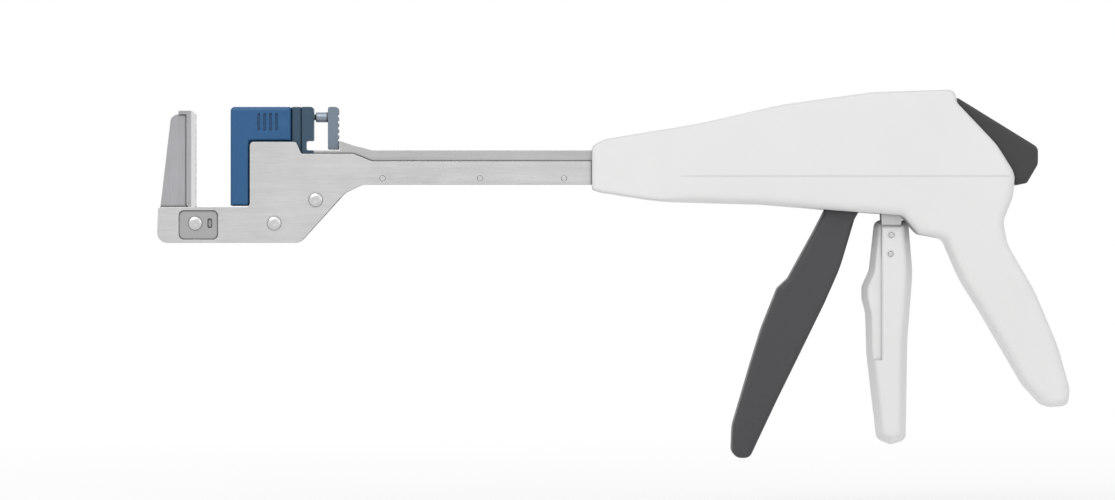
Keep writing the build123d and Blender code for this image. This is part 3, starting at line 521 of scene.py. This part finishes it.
class Workshop:
    """The shared shader groups and the finished materials, each made once."""

    def __init__(self) -> None:
        """Build the shared groups."""
        self.grain = moulded_grain_group()
        self.lay = brushed_lay_group()
        self.wear_and_shade = edge_wear_and_painted_shade_group()
        self.parting = parting_line_group()
        self.ground = toned_block_group()
        self.relief = soft_relief_group()
        self.made: dict[str, Material] = {}

    def finish_surface(self, finish: "Moulding | Brushed", tree: ShaderTree, shader: Node,
                       surface: NodeOutputs, coloured: NodeSocket) -> None:
        """Lead a surface through the group of edges lightened by wearing and a painted highlight, and of
        painted shade in crevices, then through the relief group into the shader.

        Args:
            finish: The finish.
            tree: The material's tree.
            shader: The Principled node.
            surface: The outputs of the surface group.
            coloured: The surface's colour with its line or its block painted another colour.
        """
        wear_and_shade = finish.wear_and_shade
        # Edges lightened by wearing and a painted highlight, and painted shade in crevices and joints.
        worn_and_painted_light = tree.add("ShaderNodeGroup", {
            "Colour": coloured, "Roughness": surface["Roughness"], "Edge": wear_and_shade.edge, "Crevice": wear_and_shade.crevice,
            "Seam": wear_and_shade.seam, "Edge Colour": wear_and_shade.worn_edge_and_highlight_colour, "Crevice Colour": wear_and_shade.crevice_shade_colour,
        }, node_tree=self.wear_and_shade).outputs
        raised = tree.add("ShaderNodeGroup", {
            "Height": surface["Height"], "Relief": finish.relief, "Softness": finish.softness,
        }, node_tree=self.relief).outputs
        tree.fill(shader, {
            "Base Color": worn_and_painted_light["Colour"], "Roughness": worn_and_painted_light["Roughness"], "Normal": raised["Normal"],
        })

    def of(self, finish: "Moulding | Brushed") -> Material:
        """Give the material of a finish, made the first time it is asked for.

        Args:
            finish: The finish.

        Returns:
            Its material.
        """
        if finish.name not in self.made:
            self.made[finish.name] = finish.make(self)
        return self.made[finish.name]


@dataclass(frozen=True)
class Moulding:
    """A moulded plastic finish.

    Attributes:
        name: The material's name.
        colour: The plastic's colour.
        flow: The colour that it drifts to.
        scuff_colour: The colour of light scuffs.
        wear_and_shade: How its edges are lightened by wearing and by a painted highlight, and how painted
            shade darkens its crevices and joints.
        roughness: Mean roughness.
        scuff: Strength of the scuffs.
        grain_scale: Grain cells per metre.
        relief: Height of the grain in metres.
        specular: Specular level.
        subsurface: Weight of the light that enters the plastic.
        depths: How deep red, green and blue light enter it, in metres.
        softness: Radius in metres over which edges are shaded as rounded.
        line: The colour of the parting line on the mid-plane.
    """

    name: str
    colour: Colour
    flow: Colour
    scuff_colour: Colour
    wear_and_shade: WearAndPaintedShade
    roughness: float = 0.5
    scuff: float = 0.2
    grain_scale: float = 2600.0
    relief: float = 0.04 * MM
    specular: float = 0.45
    subsurface: float = 0.0
    depths: Point = (1.2 * MM, 1.1 * MM, 1.0 * MM)
    softness: float = 0.4 * MM
    line: Colour = grey(0.3)

    def make(self, workshop: Workshop) -> Material:
        """Build the material.

        Args:
            workshop: The shared groups.

        Returns:
            The material.
        """
        material, tree, shader = new_material(self.name)
        surface = tree.add("ShaderNodeGroup", {
            "Colour": self.colour, "Flow Colour": self.flow, "Scuff Colour": self.scuff_colour,
            "Grain Scale": self.grain_scale, "Roughness": self.roughness, "Scuff": self.scuff,
        }, node_tree=workshop.grain).outputs
        lined = tree.add("ShaderNodeGroup", {
            "Colour": surface["Colour"], "Line Colour": self.line,
        }, node_tree=workshop.parting).outputs
        workshop.finish_surface(self, tree, shader, surface, lined["Colour"])
        tree.fill(shader, {
            "Specular IOR Level": self.specular, "Subsurface Weight": self.subsurface,
            "Subsurface Radius": self.depths,
        })
        return material


@dataclass(frozen=True)
class Brushed:
    """A brushed or turned steel finish, or one finished by grinding.

    Attributes:
        name: The material's name.
        colour: The steel's colour.
        streak: The colour of its darker streaks.
        lay: The direction of its streaks.
        roughness: Mean roughness.
        wear_and_shade: How its edges are lightened by wearing and by a painted highlight, and how painted
            shade darkens its crevices and joints.
        streak_scale: Streaks per metre.
        relief: Height of the streaks in metres.
        softness: Radius in metres over which edges are shaded as rounded.
        face: The low and the high corner of the block that is painted another colour.
        face_colour: The colour of that stock.
    """

    name: str
    colour: Colour
    streak: Colour
    lay: Lay
    roughness: float
    # Steel edges lightened by wearing and a painted highlight, and near-black painted shade in crevices and
    # joints.
    wear_and_shade: WearAndPaintedShade = WearAndPaintedShade(0.6, 0.8, 2.4, grey(0.9), grey(0.07))
    streak_scale: float = 5200.0
    relief: float = 0.012 * MM
    softness: float = 0.2 * MM
    face: tuple[Point, Point] = (NOWHERE, NOWHERE)
    face_colour: Colour = grey(0.85)

    def make(self, workshop: Workshop) -> Material:
        """Build the material.

        Args:
            workshop: The shared groups.

        Returns:
            The material.
        """
        material, tree, shader = new_material(self.name)
        surface = tree.add("ShaderNodeGroup", {
            "Colour": self.colour, "Streak Colour": self.streak, "Stretch": self.lay.value,
            "Streak Scale": self.streak_scale, "Roughness": self.roughness,
        }, node_tree=workshop.lay).outputs
        ground = tree.add("ShaderNodeGroup", {
            "Colour": surface["Colour"], "Face Colour": self.face_colour,
            "Low": self.face[0], "High": self.face[1],
        }, node_tree=workshop.ground).outputs
        workshop.finish_surface(self, tree, shader, surface, ground["Colour"])
        tree.fill(shader, {"Metallic": 1.0})
        return material


# Edges lightened by wearing and a painted highlight, and painted shade in crevices and joints, for the pale
# and the charcoal mouldings.
PALE_WEAR_AND_SHADE = WearAndPaintedShade(0.2, 0.45, 0.9, grey(0.9), (0.42, 0.42, 0.43, 1.0))
DARK_WEAR_AND_SHADE = WearAndPaintedShade(0.15, 0.6, 0.8, grey(0.15), grey(0.02))

WHITE_MOULDING = Moulding(
    "white_moulding", (0.84, 0.84, 0.835, 1.0), (0.80, 0.80, 0.795, 1.0), grey(0.85), PALE_WEAR_AND_SHADE,
    roughness=0.42, scuff=0.12, subsurface=0.05, softness=2.5 * MM,
)
TRIGGER_WHITE = Moulding(
    "trigger_white", (0.83, 0.83, 0.825, 1.0), (0.79, 0.79, 0.785, 1.0), grey(0.85), PALE_WEAR_AND_SHADE,
    roughness=0.45, scuff=0.16, subsurface=0.05, softness=1.8 * MM,
)
CHARCOAL_MOULDING = Moulding(
    "charcoal_moulding", (0.062, 0.062, 0.066, 1.0), (0.048, 0.048, 0.052, 1.0), grey(0.13), DARK_WEAR_AND_SHADE,
    scuff=0.3, grain_scale=1900.0, relief=0.06 * MM, softness=1.5 * MM, line=grey(0.02),
)
BUTTON_MOULDING = replace(
    CHARCOAL_MOULDING, name="button_moulding", colour=(0.044, 0.044, 0.046, 1.0),
    flow=(0.035, 0.035, 0.037, 1.0), scuff_colour=grey(0.11),
)
BLUE_MOULDING = Moulding(
    "blue_moulding", (0.018, 0.11, 0.265, 1.0), (0.013, 0.086, 0.22, 1.0), (0.10, 0.24, 0.42, 1.0),
    WearAndPaintedShade(0.5, 0.5, 1.0, (0.10, 0.25, 0.45, 1.0), (0.005, 0.03, 0.09, 1.0)),
    roughness=0.33, grain_scale=3200.0, relief=0.02 * MM, softness=0.6 * MM, line=(0.01, 0.05, 0.13, 1.0),
)
GREY_MOULDING = Moulding(
    "grey_moulding", (0.20, 0.25, 0.31, 1.0), (0.17, 0.215, 0.27, 1.0), (0.34, 0.39, 0.44, 1.0),
    WearAndPaintedShade(0.4, 0.6, 1.0, (0.36, 0.41, 0.46, 1.0), (0.05, 0.06, 0.075, 1.0)), roughness=0.45,
)
DARK_MOULDING = Moulding(
    "dark_moulding", (0.033, 0.08, 0.128, 1.0), (0.027, 0.067, 0.109, 1.0), (0.14, 0.18, 0.22, 1.0),
    WearAndPaintedShade(0.4, 0.6, 1.0, (0.15, 0.2, 0.25, 1.0), (0.01, 0.02, 0.03, 1.0)), roughness=0.42,
)
# Inside the plate's recess the frame steel is painted darker, as painted shade.
FRAME_STEEL = Brushed(
    "frame_steel", grey(0.655), grey(0.5), Lay.LENGTHWISE, 0.42, face=PLATE_RECESS, face_colour=grey(0.4),
)
CHANNEL_STEEL = Brushed("channel_steel", grey(0.55), grey(0.43), Lay.LENGTHWISE, 0.38)
# A band 2 mm deep behind the anvil's face is painted paler.
ANVIL_STEEL = Brushed(
    "anvil_steel", (0.46, 0.455, 0.475, 1.0), (0.36, 0.356, 0.372, 1.0), Lay.UPRIGHT, 0.34,
    face=ANVIL_FACE, face_colour=(0.71, 0.695, 0.69, 1.0),
)
RIVET_STEEL = Brushed("rivet_steel", grey(0.68), grey(0.56), Lay.TURNED, 0.3)
STEM_STEEL = Brushed("stem_steel", (0.30, 0.35, 0.41, 1.0), (0.24, 0.28, 0.33, 1.0), Lay.TURNED, 0.4)
PIN_STEEL = Brushed("pin_steel", grey(0.6), grey(0.5), Lay.TURNED, 0.28)
INNER_STEEL = Brushed("inner_steel", grey(0.5), grey(0.42), Lay.LENGTHWISE, 0.45)
SPRING_STEEL = Brushed("spring_steel", grey(0.45), grey(0.36), Lay.TURNED, 0.3)
STAPLE_WIRE = Brushed("staple_wire", grey(0.72), grey(0.62), Lay.LENGTHWISE, 0.25)


@dataclass
class Stage:
    """The floor, the light and the camera.

    Attributes:
        photo: Width and height of the photograph in pixels.
        origin: The column and the row in the photograph where X and Z are 0.
        pixel: Size on the object of one pixel of the photograph, in metres.
        distance: How far the camera stands from the mid-plane, in metres.
        sensor: Width of the camera's sensor in millimetres.
        floor_size: Half width of the floor in metres.
        floor_tone: Level of the floor's colour.
        clearance: How far the floor lies under the open triggers, which swing lower as they close, in metres.
        fade: Distances in metres between which the floor fades to the white behind it.
        fade_share: How much of that white the floor shows under the object.
        sky: Strength of the light from straight below and from straight above.
        aim: The point that the lamps face.
    """

    photo: tuple[int, int] = (1115, 500)
    origin: tuple[float, float] = (1010.0, 300.0)
    pixel: float = 0.37 * MM
    distance: float = 2.4
    sensor: float = 36.0
    floor_size: float = 6.0
    floor_tone: float = 0.92
    clearance: float = 18.0 * MM
    fade: tuple[float, float] = (0.1, 0.9)
    fade_share: float = 0.7
    sky: tuple[float, float] = (0.34, 0.78)
    aim: Point = (-0.14, 0.0, 0.0)

    def camera(self) -> None:
        """Place the camera at the photograph's view."""
        (width, height), (column, row) = self.photo, self.origin
        data = bpy.data.cameras.new("camera")
        data.sensor_width = self.sensor
        data.lens = self.sensor * self.distance / (width * self.pixel)
        camera = bpy.data.objects.new("camera", data)
        camera.location = ((width / 2 - column) * self.pixel, -self.distance, (row - height / 2) * self.pixel)
        camera.rotation_euler = (math.pi / 2, 0.0, 0.0)
        bpy.context.scene.collection.objects.link(camera)
        bpy.context.scene.camera = camera

    def lamp(self, name: str, place: Point, size: float, power: float) -> None:
        """Add a soft round area lamp.

        Args:
            name: The lamp's name.
            place: Where it hangs.
            size: Its diameter in metres.
            power: Its power in watts.
        """
        data = bpy.data.lights.new(name, "AREA")
        data.shape, data.size, data.energy = "DISK", size, power
        lamp = bpy.data.objects.new(name, data)
        lamp.location = place
        lamp.rotation_euler = (Vector(self.aim) - Vector(place)).to_track_quat("-Z", "Y").to_euler()
        lamp.visible_camera = False
        bpy.context.scene.collection.objects.link(lamp)

    def seen(self, tree: ShaderTree) -> NodeSocket:
        """Mark the rays that show the background: straight from the camera, reflected or passed through.

        Args:
            tree: The tree of the world or of a material.

        Returns:
            A socket that is 1 for those rays and 0 for the light that falls on the object.
        """
        path = tree.add("ShaderNodeLightPath").outputs
        direct = tree.maths("MAXIMUM", path["Is Camera Ray"], path["Is Glossy Ray"])
        return tree.maths("MAXIMUM", direct, path["Is Transmission Ray"])

    def world(self) -> None:
        """Light from all round, paler above, and plain white behind the object."""
        world = bpy.data.worlds.new("studio")
        bpy.context.scene.world = world
        world.use_nodes = True
        world.node_tree.nodes.clear()
        tree = ShaderTree(world.node_tree)
        height = tree.split(tree.add("ShaderNodeTexCoord").outputs["Generated"])["Z"]
        ramp = tree.add("ShaderNodeMapRange", {
            "Value": height, "From Min": -1.0, "To Min": self.sky[0], "To Max": self.sky[1],
        })
        soft = tree.add("ShaderNodeBackground", {"Strength": ramp.outputs[0]}).outputs[0]
        plain = tree.add("ShaderNodeBackground", {"Strength": 1.0, "Color": grey(1.0)}).outputs[0]
        tree.add("ShaderNodeOutputWorld", {"Surface": tree.layer(self.seen(tree), soft, plain)})

    def floor(self) -> None:
        """Lay a pale floor under the object, which fades to the white behind it and is clear from below."""
        low = min(corner[2] for corner in CAD_BOX) - self.clearance
        side = self.floor_size
        corners = np.array([(-side, -side, low), (side, -side, low), (side, side, low), (-side, side, low)])
        piece = piece_of("floor", corners, np.array([(0, 1, 2, 3)]))
        material, tree, shader = new_material("floor_white")
        tree.fill(shader, {
            "Base Color": grey(self.floor_tone), "Roughness": 0.9, "Specular IOR Level": 0.1,
        })
        away = tree.add("ShaderNodeVectorMath", {0: tree.here()}, operation="LENGTH").outputs["Value"]
        fade = tree.add("ShaderNodeMapRange", {
            "Value": away, "From Min": self.fade[0], "From Max": self.fade[1], "To Min": self.fade_share,
        })
        share = tree.maths("MULTIPLY", fade.outputs[0], self.seen(tree))
        glow = tree.add("ShaderNodeEmission", {"Color": grey(1.0)}).outputs[0]
        above = tree.layer(share, shader.outputs[0], glow)
        clear = tree.add("ShaderNodeBsdfTransparent").outputs[0]
        beneath = tree.add("ShaderNodeNewGeometry").outputs["Backfacing"]
        tree.fill(tree.tree.nodes["Material Output"], {"Surface": tree.layer(beneath, above, clear)})
        piece.data.materials.append(material)

    def build(self) -> None:
        """Set the whole stage."""
        bpy.context.scene.view_settings.view_transform = "Standard"
        self.camera()
        self.world()
        self.floor()
        self.lamp("key", place=(-0.9, -1.6, 1.7), size=2.0, power=23.0)
        self.lamp("fill", place=(1.3, -1.4, 0.9), size=2.4, power=6.0)
        self.lamp("back", place=(-0.2, 1.8, 1.4), size=2.0, power=8.0)
        log.info("stage: camera, world, floor and lamps")


def skin(rings: np.ndarray) -> tuple[np.ndarray, np.ndarray]:
    """Triangles that join rings into a closed skin.

    Neighbouring rings are joined by walls, and each end ring is closed by a fan to its own centre.

    Args:
        rings: Points by ring and by place on the ring, as an array of rings x sides x 3.

    Returns:
        The points and the triangles, facing outwards.
    """
    count, sides = rings.shape[:2]
    points = np.concatenate([rings[:1].mean(axis=1), rings.reshape(-1, 3), rings[-1:].mean(axis=1)])
    here = 1 + np.arange(count * sides).reshape(count, sides)
    beside = np.roll(here, -1, axis=1)
    lower = np.stack([here[:-1], beside[:-1], beside[1:]], axis=-1).reshape(-1, 3)
    upper = np.stack([here[:-1], beside[1:], here[1:]], axis=-1).reshape(-1, 3)
    first = np.stack([np.zeros(sides, int), beside[0], here[0]], axis=-1)
    last = np.stack([np.full(sides, len(points) - 1), here[-1], beside[-1]], axis=-1)
    faces = np.concatenate([first, lower, upper, last])
    corners = points[faces] - points.mean(axis=0)
    volume = np.einsum("ij,ij->i", corners[:, 0], np.cross(corners[:, 1], corners[:, 2])).sum()
    return points, faces if volume > 0 else faces[:, ::-1]


def joined(parts: list[tuple[np.ndarray, np.ndarray]]) -> tuple[np.ndarray, np.ndarray]:
    """Several skins as one set of points and triangles.

    Args:
        parts: The points and the triangles of each skin.

    Returns:
        All points and all triangles, with each skin's indices moved past those before it.
    """
    starts = np.cumsum([0] + [len(points) for points, _ in parts[:-1]])
    points = np.concatenate([points for points, _ in parts])
    faces = np.concatenate([faces + start for (_, faces), start in zip(parts, starts)])
    return points, faces


def piece_of(name: str, points: np.ndarray, faces: np.ndarray) -> Object:
    """Put points and faces into a smooth mesh object at the origin.

    Args:
        name: The object's name.
        points: The points in metres.
        faces: The faces, as the numbers of their points.

    Returns:
        The object.
    """
    mesh = bpy.data.meshes.new(name)
    mesh.from_pydata(points.tolist(), [], faces.tolist())
    mesh.polygons.foreach_set("use_smooth", np.ones(len(faces), bool))
    mesh.update()
    piece = bpy.data.objects.new(name, mesh)
    bpy.context.scene.collection.objects.link(piece)
    return piece


def round_wire(path: np.ndarray, side: np.ndarray, radius: float, sides: int = 12) -> np.ndarray:
    """Rings of a round wire along a path.

    Each ring is the path point plus the radius times (cos a x side + sin a x (tangent x side)).

    Args:
        path: Points along the wire's centre.
        side: A unit vector across the wire at each point.
        radius: The wire's radius.
        sides: Points on each ring.

    Returns:
        The rings, for skin.
    """
    tangent = np.gradient(path, axis=0)
    tangent /= np.linalg.norm(tangent, axis=1, keepdims=True)
    side = side - tangent * np.einsum("ij,ij->i", side, tangent)[:, None]
    side /= np.linalg.norm(side, axis=1, keepdims=True)
    across = np.cross(tangent, side)
    angle = np.linspace(0.0, 2 * np.pi, sides, endpoint=False)[None, :, None]
    return path[:, None] + radius * (np.cos(angle) * side[:, None] + np.sin(angle) * across[:, None])


@dataclass
class Rivets:
    """The jaw rivets with domed, slightly dimpled heads, turned about their own axes.

    Attributes:
        dome: Height of a head over the plate in metres.
        dimple: Depth of the punch mark in its middle in metres.
        node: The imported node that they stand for.
        head_radius: Radius of a head in metres.
        shank_radius: Radius of the shank in metres.
        middle_from_heel: Distance from the heel rivet forward to the middle one in metres.
        recess: How much deeper the front rivet's plate lies in metres.
        sides: Points round a head.
    """

    dome: float
    dimple: float
    node: str = "jaw_rivets"
    head_radius: float = 2.6 * MM
    shank_radius: float = 1.5 * MM
    middle_from_heel: float = 15.3 * MM
    recess: float = 0.5 * MM
    sides: int = 48

    def profile(self, reach: float) -> np.ndarray:
        """Half of the rivet's outline, from the middle of a head to the shank.

        The head's height over the plate is dome x (1 - t^4), less a dimple of exp(-(t / 0.3)^2), where t
        is the share of the head's radius.

        Args:
            reach: Distance from the mid-plane to the top of the head.

        Returns:
            Distance along the axis and radius of each outline point.
        """
        share = np.linspace(0.02, 1.0, 18)
        height = self.dome * (1 - share ** 4) - self.dimple * np.exp(-((share / 0.3) ** 2))
        seat = reach - self.dome
        head = np.stack([seat + height, self.head_radius * share], axis=-1)
        shank = np.array([(seat - 0.01 * MM, self.head_radius * 0.97), (seat - 0.02 * MM, self.shank_radius)])
        return np.concatenate([head, shank])

    def build(self) -> Object:
        """Turn the three rivets.

        Returns:
            One object with all of them.
        """
        low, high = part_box(self.node)
        heel = (high.x - self.head_radius, high.z - self.head_radius)
        front = (low.x + self.head_radius, low.z + self.head_radius)
        places = (
            (front, high.y - self.recess),
            ((heel[0] - self.middle_from_heel, front[1]), high.y),
            (heel, high.y),
        )
        angle = np.linspace(0.0, 2 * np.pi, self.sides, endpoint=False)[None]
        parts = []
        for (x, z), reach in places:
            half = self.profile(reach)
            outline = np.concatenate([half, half[::-1] * (-1.0, 1.0)])
            axis, radius = outline[:, :1], outline[:, 1:]
            across, up = radius * np.cos(angle), radius * np.sin(angle)
            parts.append(skin(np.stack([x + across, axis + 0 * angle, z + up], axis=-1)))
        return piece_of("domed_rivets", *joined(parts))

    def dress(self, piece: Object, workshop: Workshop) -> None:
        """Put the rivets in the frame's body with their steel.

        Args:
            piece: The rivets.
            workshop: The maker of the materials.
        """
        piece.data.materials.append(workshop.of(RIVET_STEEL))
        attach(piece, "frame")
        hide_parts(self.node)


@dataclass
class Springs:
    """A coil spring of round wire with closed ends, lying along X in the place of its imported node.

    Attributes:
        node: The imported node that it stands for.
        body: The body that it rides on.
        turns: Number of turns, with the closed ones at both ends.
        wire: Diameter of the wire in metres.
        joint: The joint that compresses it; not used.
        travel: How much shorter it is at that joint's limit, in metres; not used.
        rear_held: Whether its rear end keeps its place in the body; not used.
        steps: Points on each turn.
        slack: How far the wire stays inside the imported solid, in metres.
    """

    node: str
    body: str
    turns: float
    wire: float
    joint: str
    travel: float
    rear_held: bool
    steps: int = 36
    slack: float = 0.02 * MM

    def build(self) -> Object:
        """Wind the spring.

        The advance along the axis is s - sin(2 pi s) / (2 pi x 1.25), which lets the pitch fall off towards
        both ends, and the angle grows evenly with s.

        Returns:
            The spring.
        """
        low, high = (np.array(corner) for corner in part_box(self.node))
        radius = (high[2] - low[2]) / 2 - self.wire / 2 - self.slack
        middle = (low + high) / 2
        share = np.linspace(0.0, 1.0, int(self.turns * self.steps))
        advance = share - np.sin(2 * np.pi * share) / (2 * np.pi * 1.25)
        angle = 2 * np.pi * self.turns * share
        start, length = low[0] + self.wire / 2, high[0] - low[0] - self.wire
        out = np.stack([0 * angle, np.cos(angle), np.sin(angle)], axis=-1)
        path = np.array([0.0, middle[1], middle[2]]) + radius * out
        path[:, 0] = start + length * advance
        return piece_of(self.node + "_wound", *skin(round_wire(path, out, self.wire / 2)))

    def dress(self, piece: Object, workshop: Workshop) -> None:
        """Put the spring in its body with its steel, and give it a mesh of its own.

        Args:
            piece: The spring.
            workshop: The maker of the materials.
        """
        piece.data.materials.append(workshop.of(SPRING_STEEL))
        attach(piece, self.body)
        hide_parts(self.node)
        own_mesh(piece)


@dataclass
class StapleRow:
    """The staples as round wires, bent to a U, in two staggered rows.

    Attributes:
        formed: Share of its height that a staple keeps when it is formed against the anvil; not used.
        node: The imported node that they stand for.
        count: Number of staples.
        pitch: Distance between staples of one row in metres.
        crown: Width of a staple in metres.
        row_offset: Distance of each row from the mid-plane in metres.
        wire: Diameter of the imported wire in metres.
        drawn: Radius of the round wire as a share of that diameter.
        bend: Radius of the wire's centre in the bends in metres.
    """

    formed: float
    node: str = "staples"
    count: int = 11
    pitch: float = 4.9 * MM
    crown: float = 3.9 * MM
    row_offset: float = 1.5 * MM
    wire: float = 0.24 * MM
    drawn: float = 0.46
    bend: float = 0.48 * MM

    def bent(self, length: float) -> np.ndarray:
        """One staple's centre line, with its crown at X 0 and its legs towards -X.

        Two straight legs and a straight crown are joined by quarter circles.

        Args:
            length: Length from the leg's tip to the crown's centre line.

        Returns:
            Points in the staple's own plane, as X and Z.
        """
        half = (self.crown - self.wire) / 2
        turn = np.linspace(0.0, np.pi / 2, 7)
        leg = np.linspace(-length, -self.bend, 5, endpoint=False)
        lower = np.stack([leg, np.full_like(leg, -half)], axis=-1)
        arc = self.bend * np.stack([np.sin(turn) - 1, 1 - np.cos(turn)], axis=-1) - (0.0, half)
        side = np.concatenate([lower, arc])
        return np.concatenate([side, side[::-1] * (1.0, -1.0)])

    def build(self) -> Object:
        """Bend the staples and stand them in their rows.

        Returns:
            One object with all of them.
        """
        low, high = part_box(self.node)
        line = self.bent(high.x - low.x - self.wire / 2)
        path = np.stack([high.x - self.wire / 2 + line[:, 0], 0 * line[:, 0], line[:, 1]], axis=-1)
        side = np.broadcast_to((0.0, 1.0, 0.0), path.shape)
        rings = round_wire(path, side, self.wire * self.drawn, sides=8)
        order = np.arange(self.count)
        rise = (low.z + high.z) / 2 + (order - (self.count - 1) / 2) * self.pitch / 2
        across = np.where(order % 2, self.row_offset, -self.row_offset)
        shifts = np.stack([0 * rise, across, rise], axis=-1)
        return piece_of("bent_staples", *joined([skin(rings + shift) for shift in shifts]))

    def dress(self, piece: Object, workshop: Workshop) -> None:
        """Put the staples in the driver's body with their wire finish, and give them a mesh of their own.

        Args:
            piece: The staples.
            workshop: The maker of the materials.
        """
        piece.data.materials.append(workshop.of(STAPLE_WIRE))
        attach(piece, "driver")
        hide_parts(self.node)
        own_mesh(piece)


@dataclass
class Assembly:
    """A sub-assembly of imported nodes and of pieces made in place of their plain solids.

    Attributes:
        finishes: Node names with their finishes.
        makers: Makers of the new pieces.
        pieces: The new pieces, once they are built.
    """

    finishes: dict[str, Moulding | Brushed] = field(init=False, default_factory=dict)
    makers: list[Rivets | Springs | StapleRow] = field(init=False, default_factory=list)
    pieces: list[Object] = field(init=False, default_factory=list)

    def build(self) -> None:
        """Make the new pieces."""
        self.pieces = [maker.build() for maker in self.makers]

    def dress(self, workshop: Workshop) -> None:
        """Give each node its material, and each new piece its body, slot and material.

        Args:
            workshop: The maker of the materials.
        """
        for node, finish in self.finishes.items():
            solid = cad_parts[node]
            solid.data.materials.clear()
            solid.data.materials.append(workshop.of(finish))
        for maker, piece in zip(self.makers, self.pieces):
            maker.dress(piece, workshop)
        name = type(self).__name__
        log.info("%s: %d nodes dressed, %d pieces made", name, len(self.finishes), len(self.pieces))


@dataclass
class Jaw(Assembly):
    """The frame plates, the anvil and the rivets that clamp them.

    Attributes:
        rivet_dome: Height of a jaw rivet's head over the plate in metres.
        punch_mark: Depth of the mark in the middle of a head in metres.
    """

    rivet_dome: float = 0.6 * MM
    punch_mark: float = 0.12 * MM

    def __post_init__(self) -> None:
        """Name the finishes and the rivets."""
        self.finishes = {
            "left_frame_plate": FRAME_STEEL, "right_frame_plate": FRAME_STEEL, "anvil": ANVIL_STEEL,
            "jaw_rivets": RIVET_STEEL, "barrel_rivets": RIVET_STEEL,
        }
        self.makers = [Rivets(dome=self.rivet_dome, dimple=self.punch_mark)]


@dataclass
class Closure(Assembly):
    """The sliding channel with its cartridge, its guides and both return springs.

    Attributes:
        spring_wire: Diameter of the springs' wire in metres.
        closing_travel: How much the closure spring is compressed in metres.
        firing_travel: How much the firing spring is compressed in metres.
    """

    spring_wire: float = 0.7 * MM
    closing_travel: float = 11.5 * MM
    firing_travel: float = 4.7 * MM

    def __post_init__(self) -> None:
        """Name the finishes and the springs."""
        self.finishes = {
            "closure_channel": CHANNEL_STEEL, "pin_guide": DARK_MOULDING, "cartridge_post": DARK_MOULDING,
            "cartridge": BLUE_MOULDING, "spring_seat": INNER_STEEL, "closure_spring": SPRING_STEEL,
            "firing_spring": SPRING_STEEL,
        }
        wire, body = self.spring_wire, "closure"
        self.makers = [
            Springs("closure_spring", body, 10, wire, "closure_slide", self.closing_travel, True),
            Springs("firing_spring", body, 8, wire, "firing_bar_slide", self.firing_travel, False),
        ]


@dataclass
class StapleLine(Assembly):
    """The staples, their driver and the bar that pushes it.

    Attributes:
        formed: Share of its height that a staple keeps when it is formed against the anvil.
    """

    formed: float = 0.55

    def __post_init__(self) -> None:
        """Name the finishes and the staples."""
        self.finishes = {
            "staple_driver": BLUE_MOULDING, "staples": STAPLE_WIRE, "pusher": INNER_STEEL,
            "firing_bar": INNER_STEEL,
        }
        self.makers = [StapleRow(formed=self.formed)]


@dataclass
class RetainingPin(Assembly):
    """The pin that holds the tissue in the jaw, and its knob."""

    def __post_init__(self) -> None:
        """Name the finishes."""
        self.finishes = {"retaining_pin": STEM_STEEL, "pin_knob": GREY_MOULDING}


@dataclass
class ClosingLever(Assembly):
    """The white trigger with its steel levers and the pins in them."""

    def __post_init__(self) -> None:
        """Name the finishes."""
        self.finishes = {
            "closing_trigger": TRIGGER_WHITE, "left_closing_lever": FRAME_STEEL,
            "right_closing_lever": FRAME_STEEL, "lever_rivets": RIVET_STEEL, "crank_pin": PIN_STEEL,
            "firing_pivot_studs": PIN_STEEL,
        }


@dataclass
class FiringLever(Assembly):
    """The charcoal trigger and its drive pin."""

    def __post_init__(self) -> None:
        """Name the finishes."""
        self.finishes = {"firing_trigger": CHARCOAL_MOULDING, "drive_pin": PIN_STEEL}


@dataclass
class Handle(Assembly):
    """The two shells and the pins across them."""

    def __post_init__(self) -> None:
        """Name the finishes."""
        self.finishes = {
            "left_handle_shell": WHITE_MOULDING, "right_handle_shell": WHITE_MOULDING,
            "anchor_pins": PIN_STEEL, "closing_pivot_pin": PIN_STEEL, "button_pin": PIN_STEEL,
        }


@dataclass
class ReleaseButton(Assembly):
    """The release button with its pawl and its spring.

    Attributes:
        spring_wire: Diameter of the spring's wire in metres.
        travel: How much the spring is compressed in metres.
    """

    spring_wire: float = 0.5 * MM
    travel: float = 1.9 * MM

    def __post_init__(self) -> None:
        """Name the finishes and the spring."""
        self.finishes = {
            "release_button": BUTTON_MOULDING, "latch_pawl": INNER_STEEL, "button_spring": SPRING_STEEL,
        }
        joint = "release_button_pivot"
        self.makers = [Springs("button_spring", "button", 4, self.spring_wire, joint, self.travel, True)]


def main() -> None:
    """Build the stage and dress every sub-assembly."""
    logging.basicConfig(level=logging.INFO)
    Stage().build()
    workshop = Workshop()
    jaw_end = (Jaw(), Closure(), StapleLine(), RetainingPin())
    hand_end = (ClosingLever(), FiringLever(), Handle(), ReleaseButton())
    for assembly in jaw_end + hand_end:
        assembly.build()
        assembly.dress(workshop)


if __name__ == "__main__":
    main()
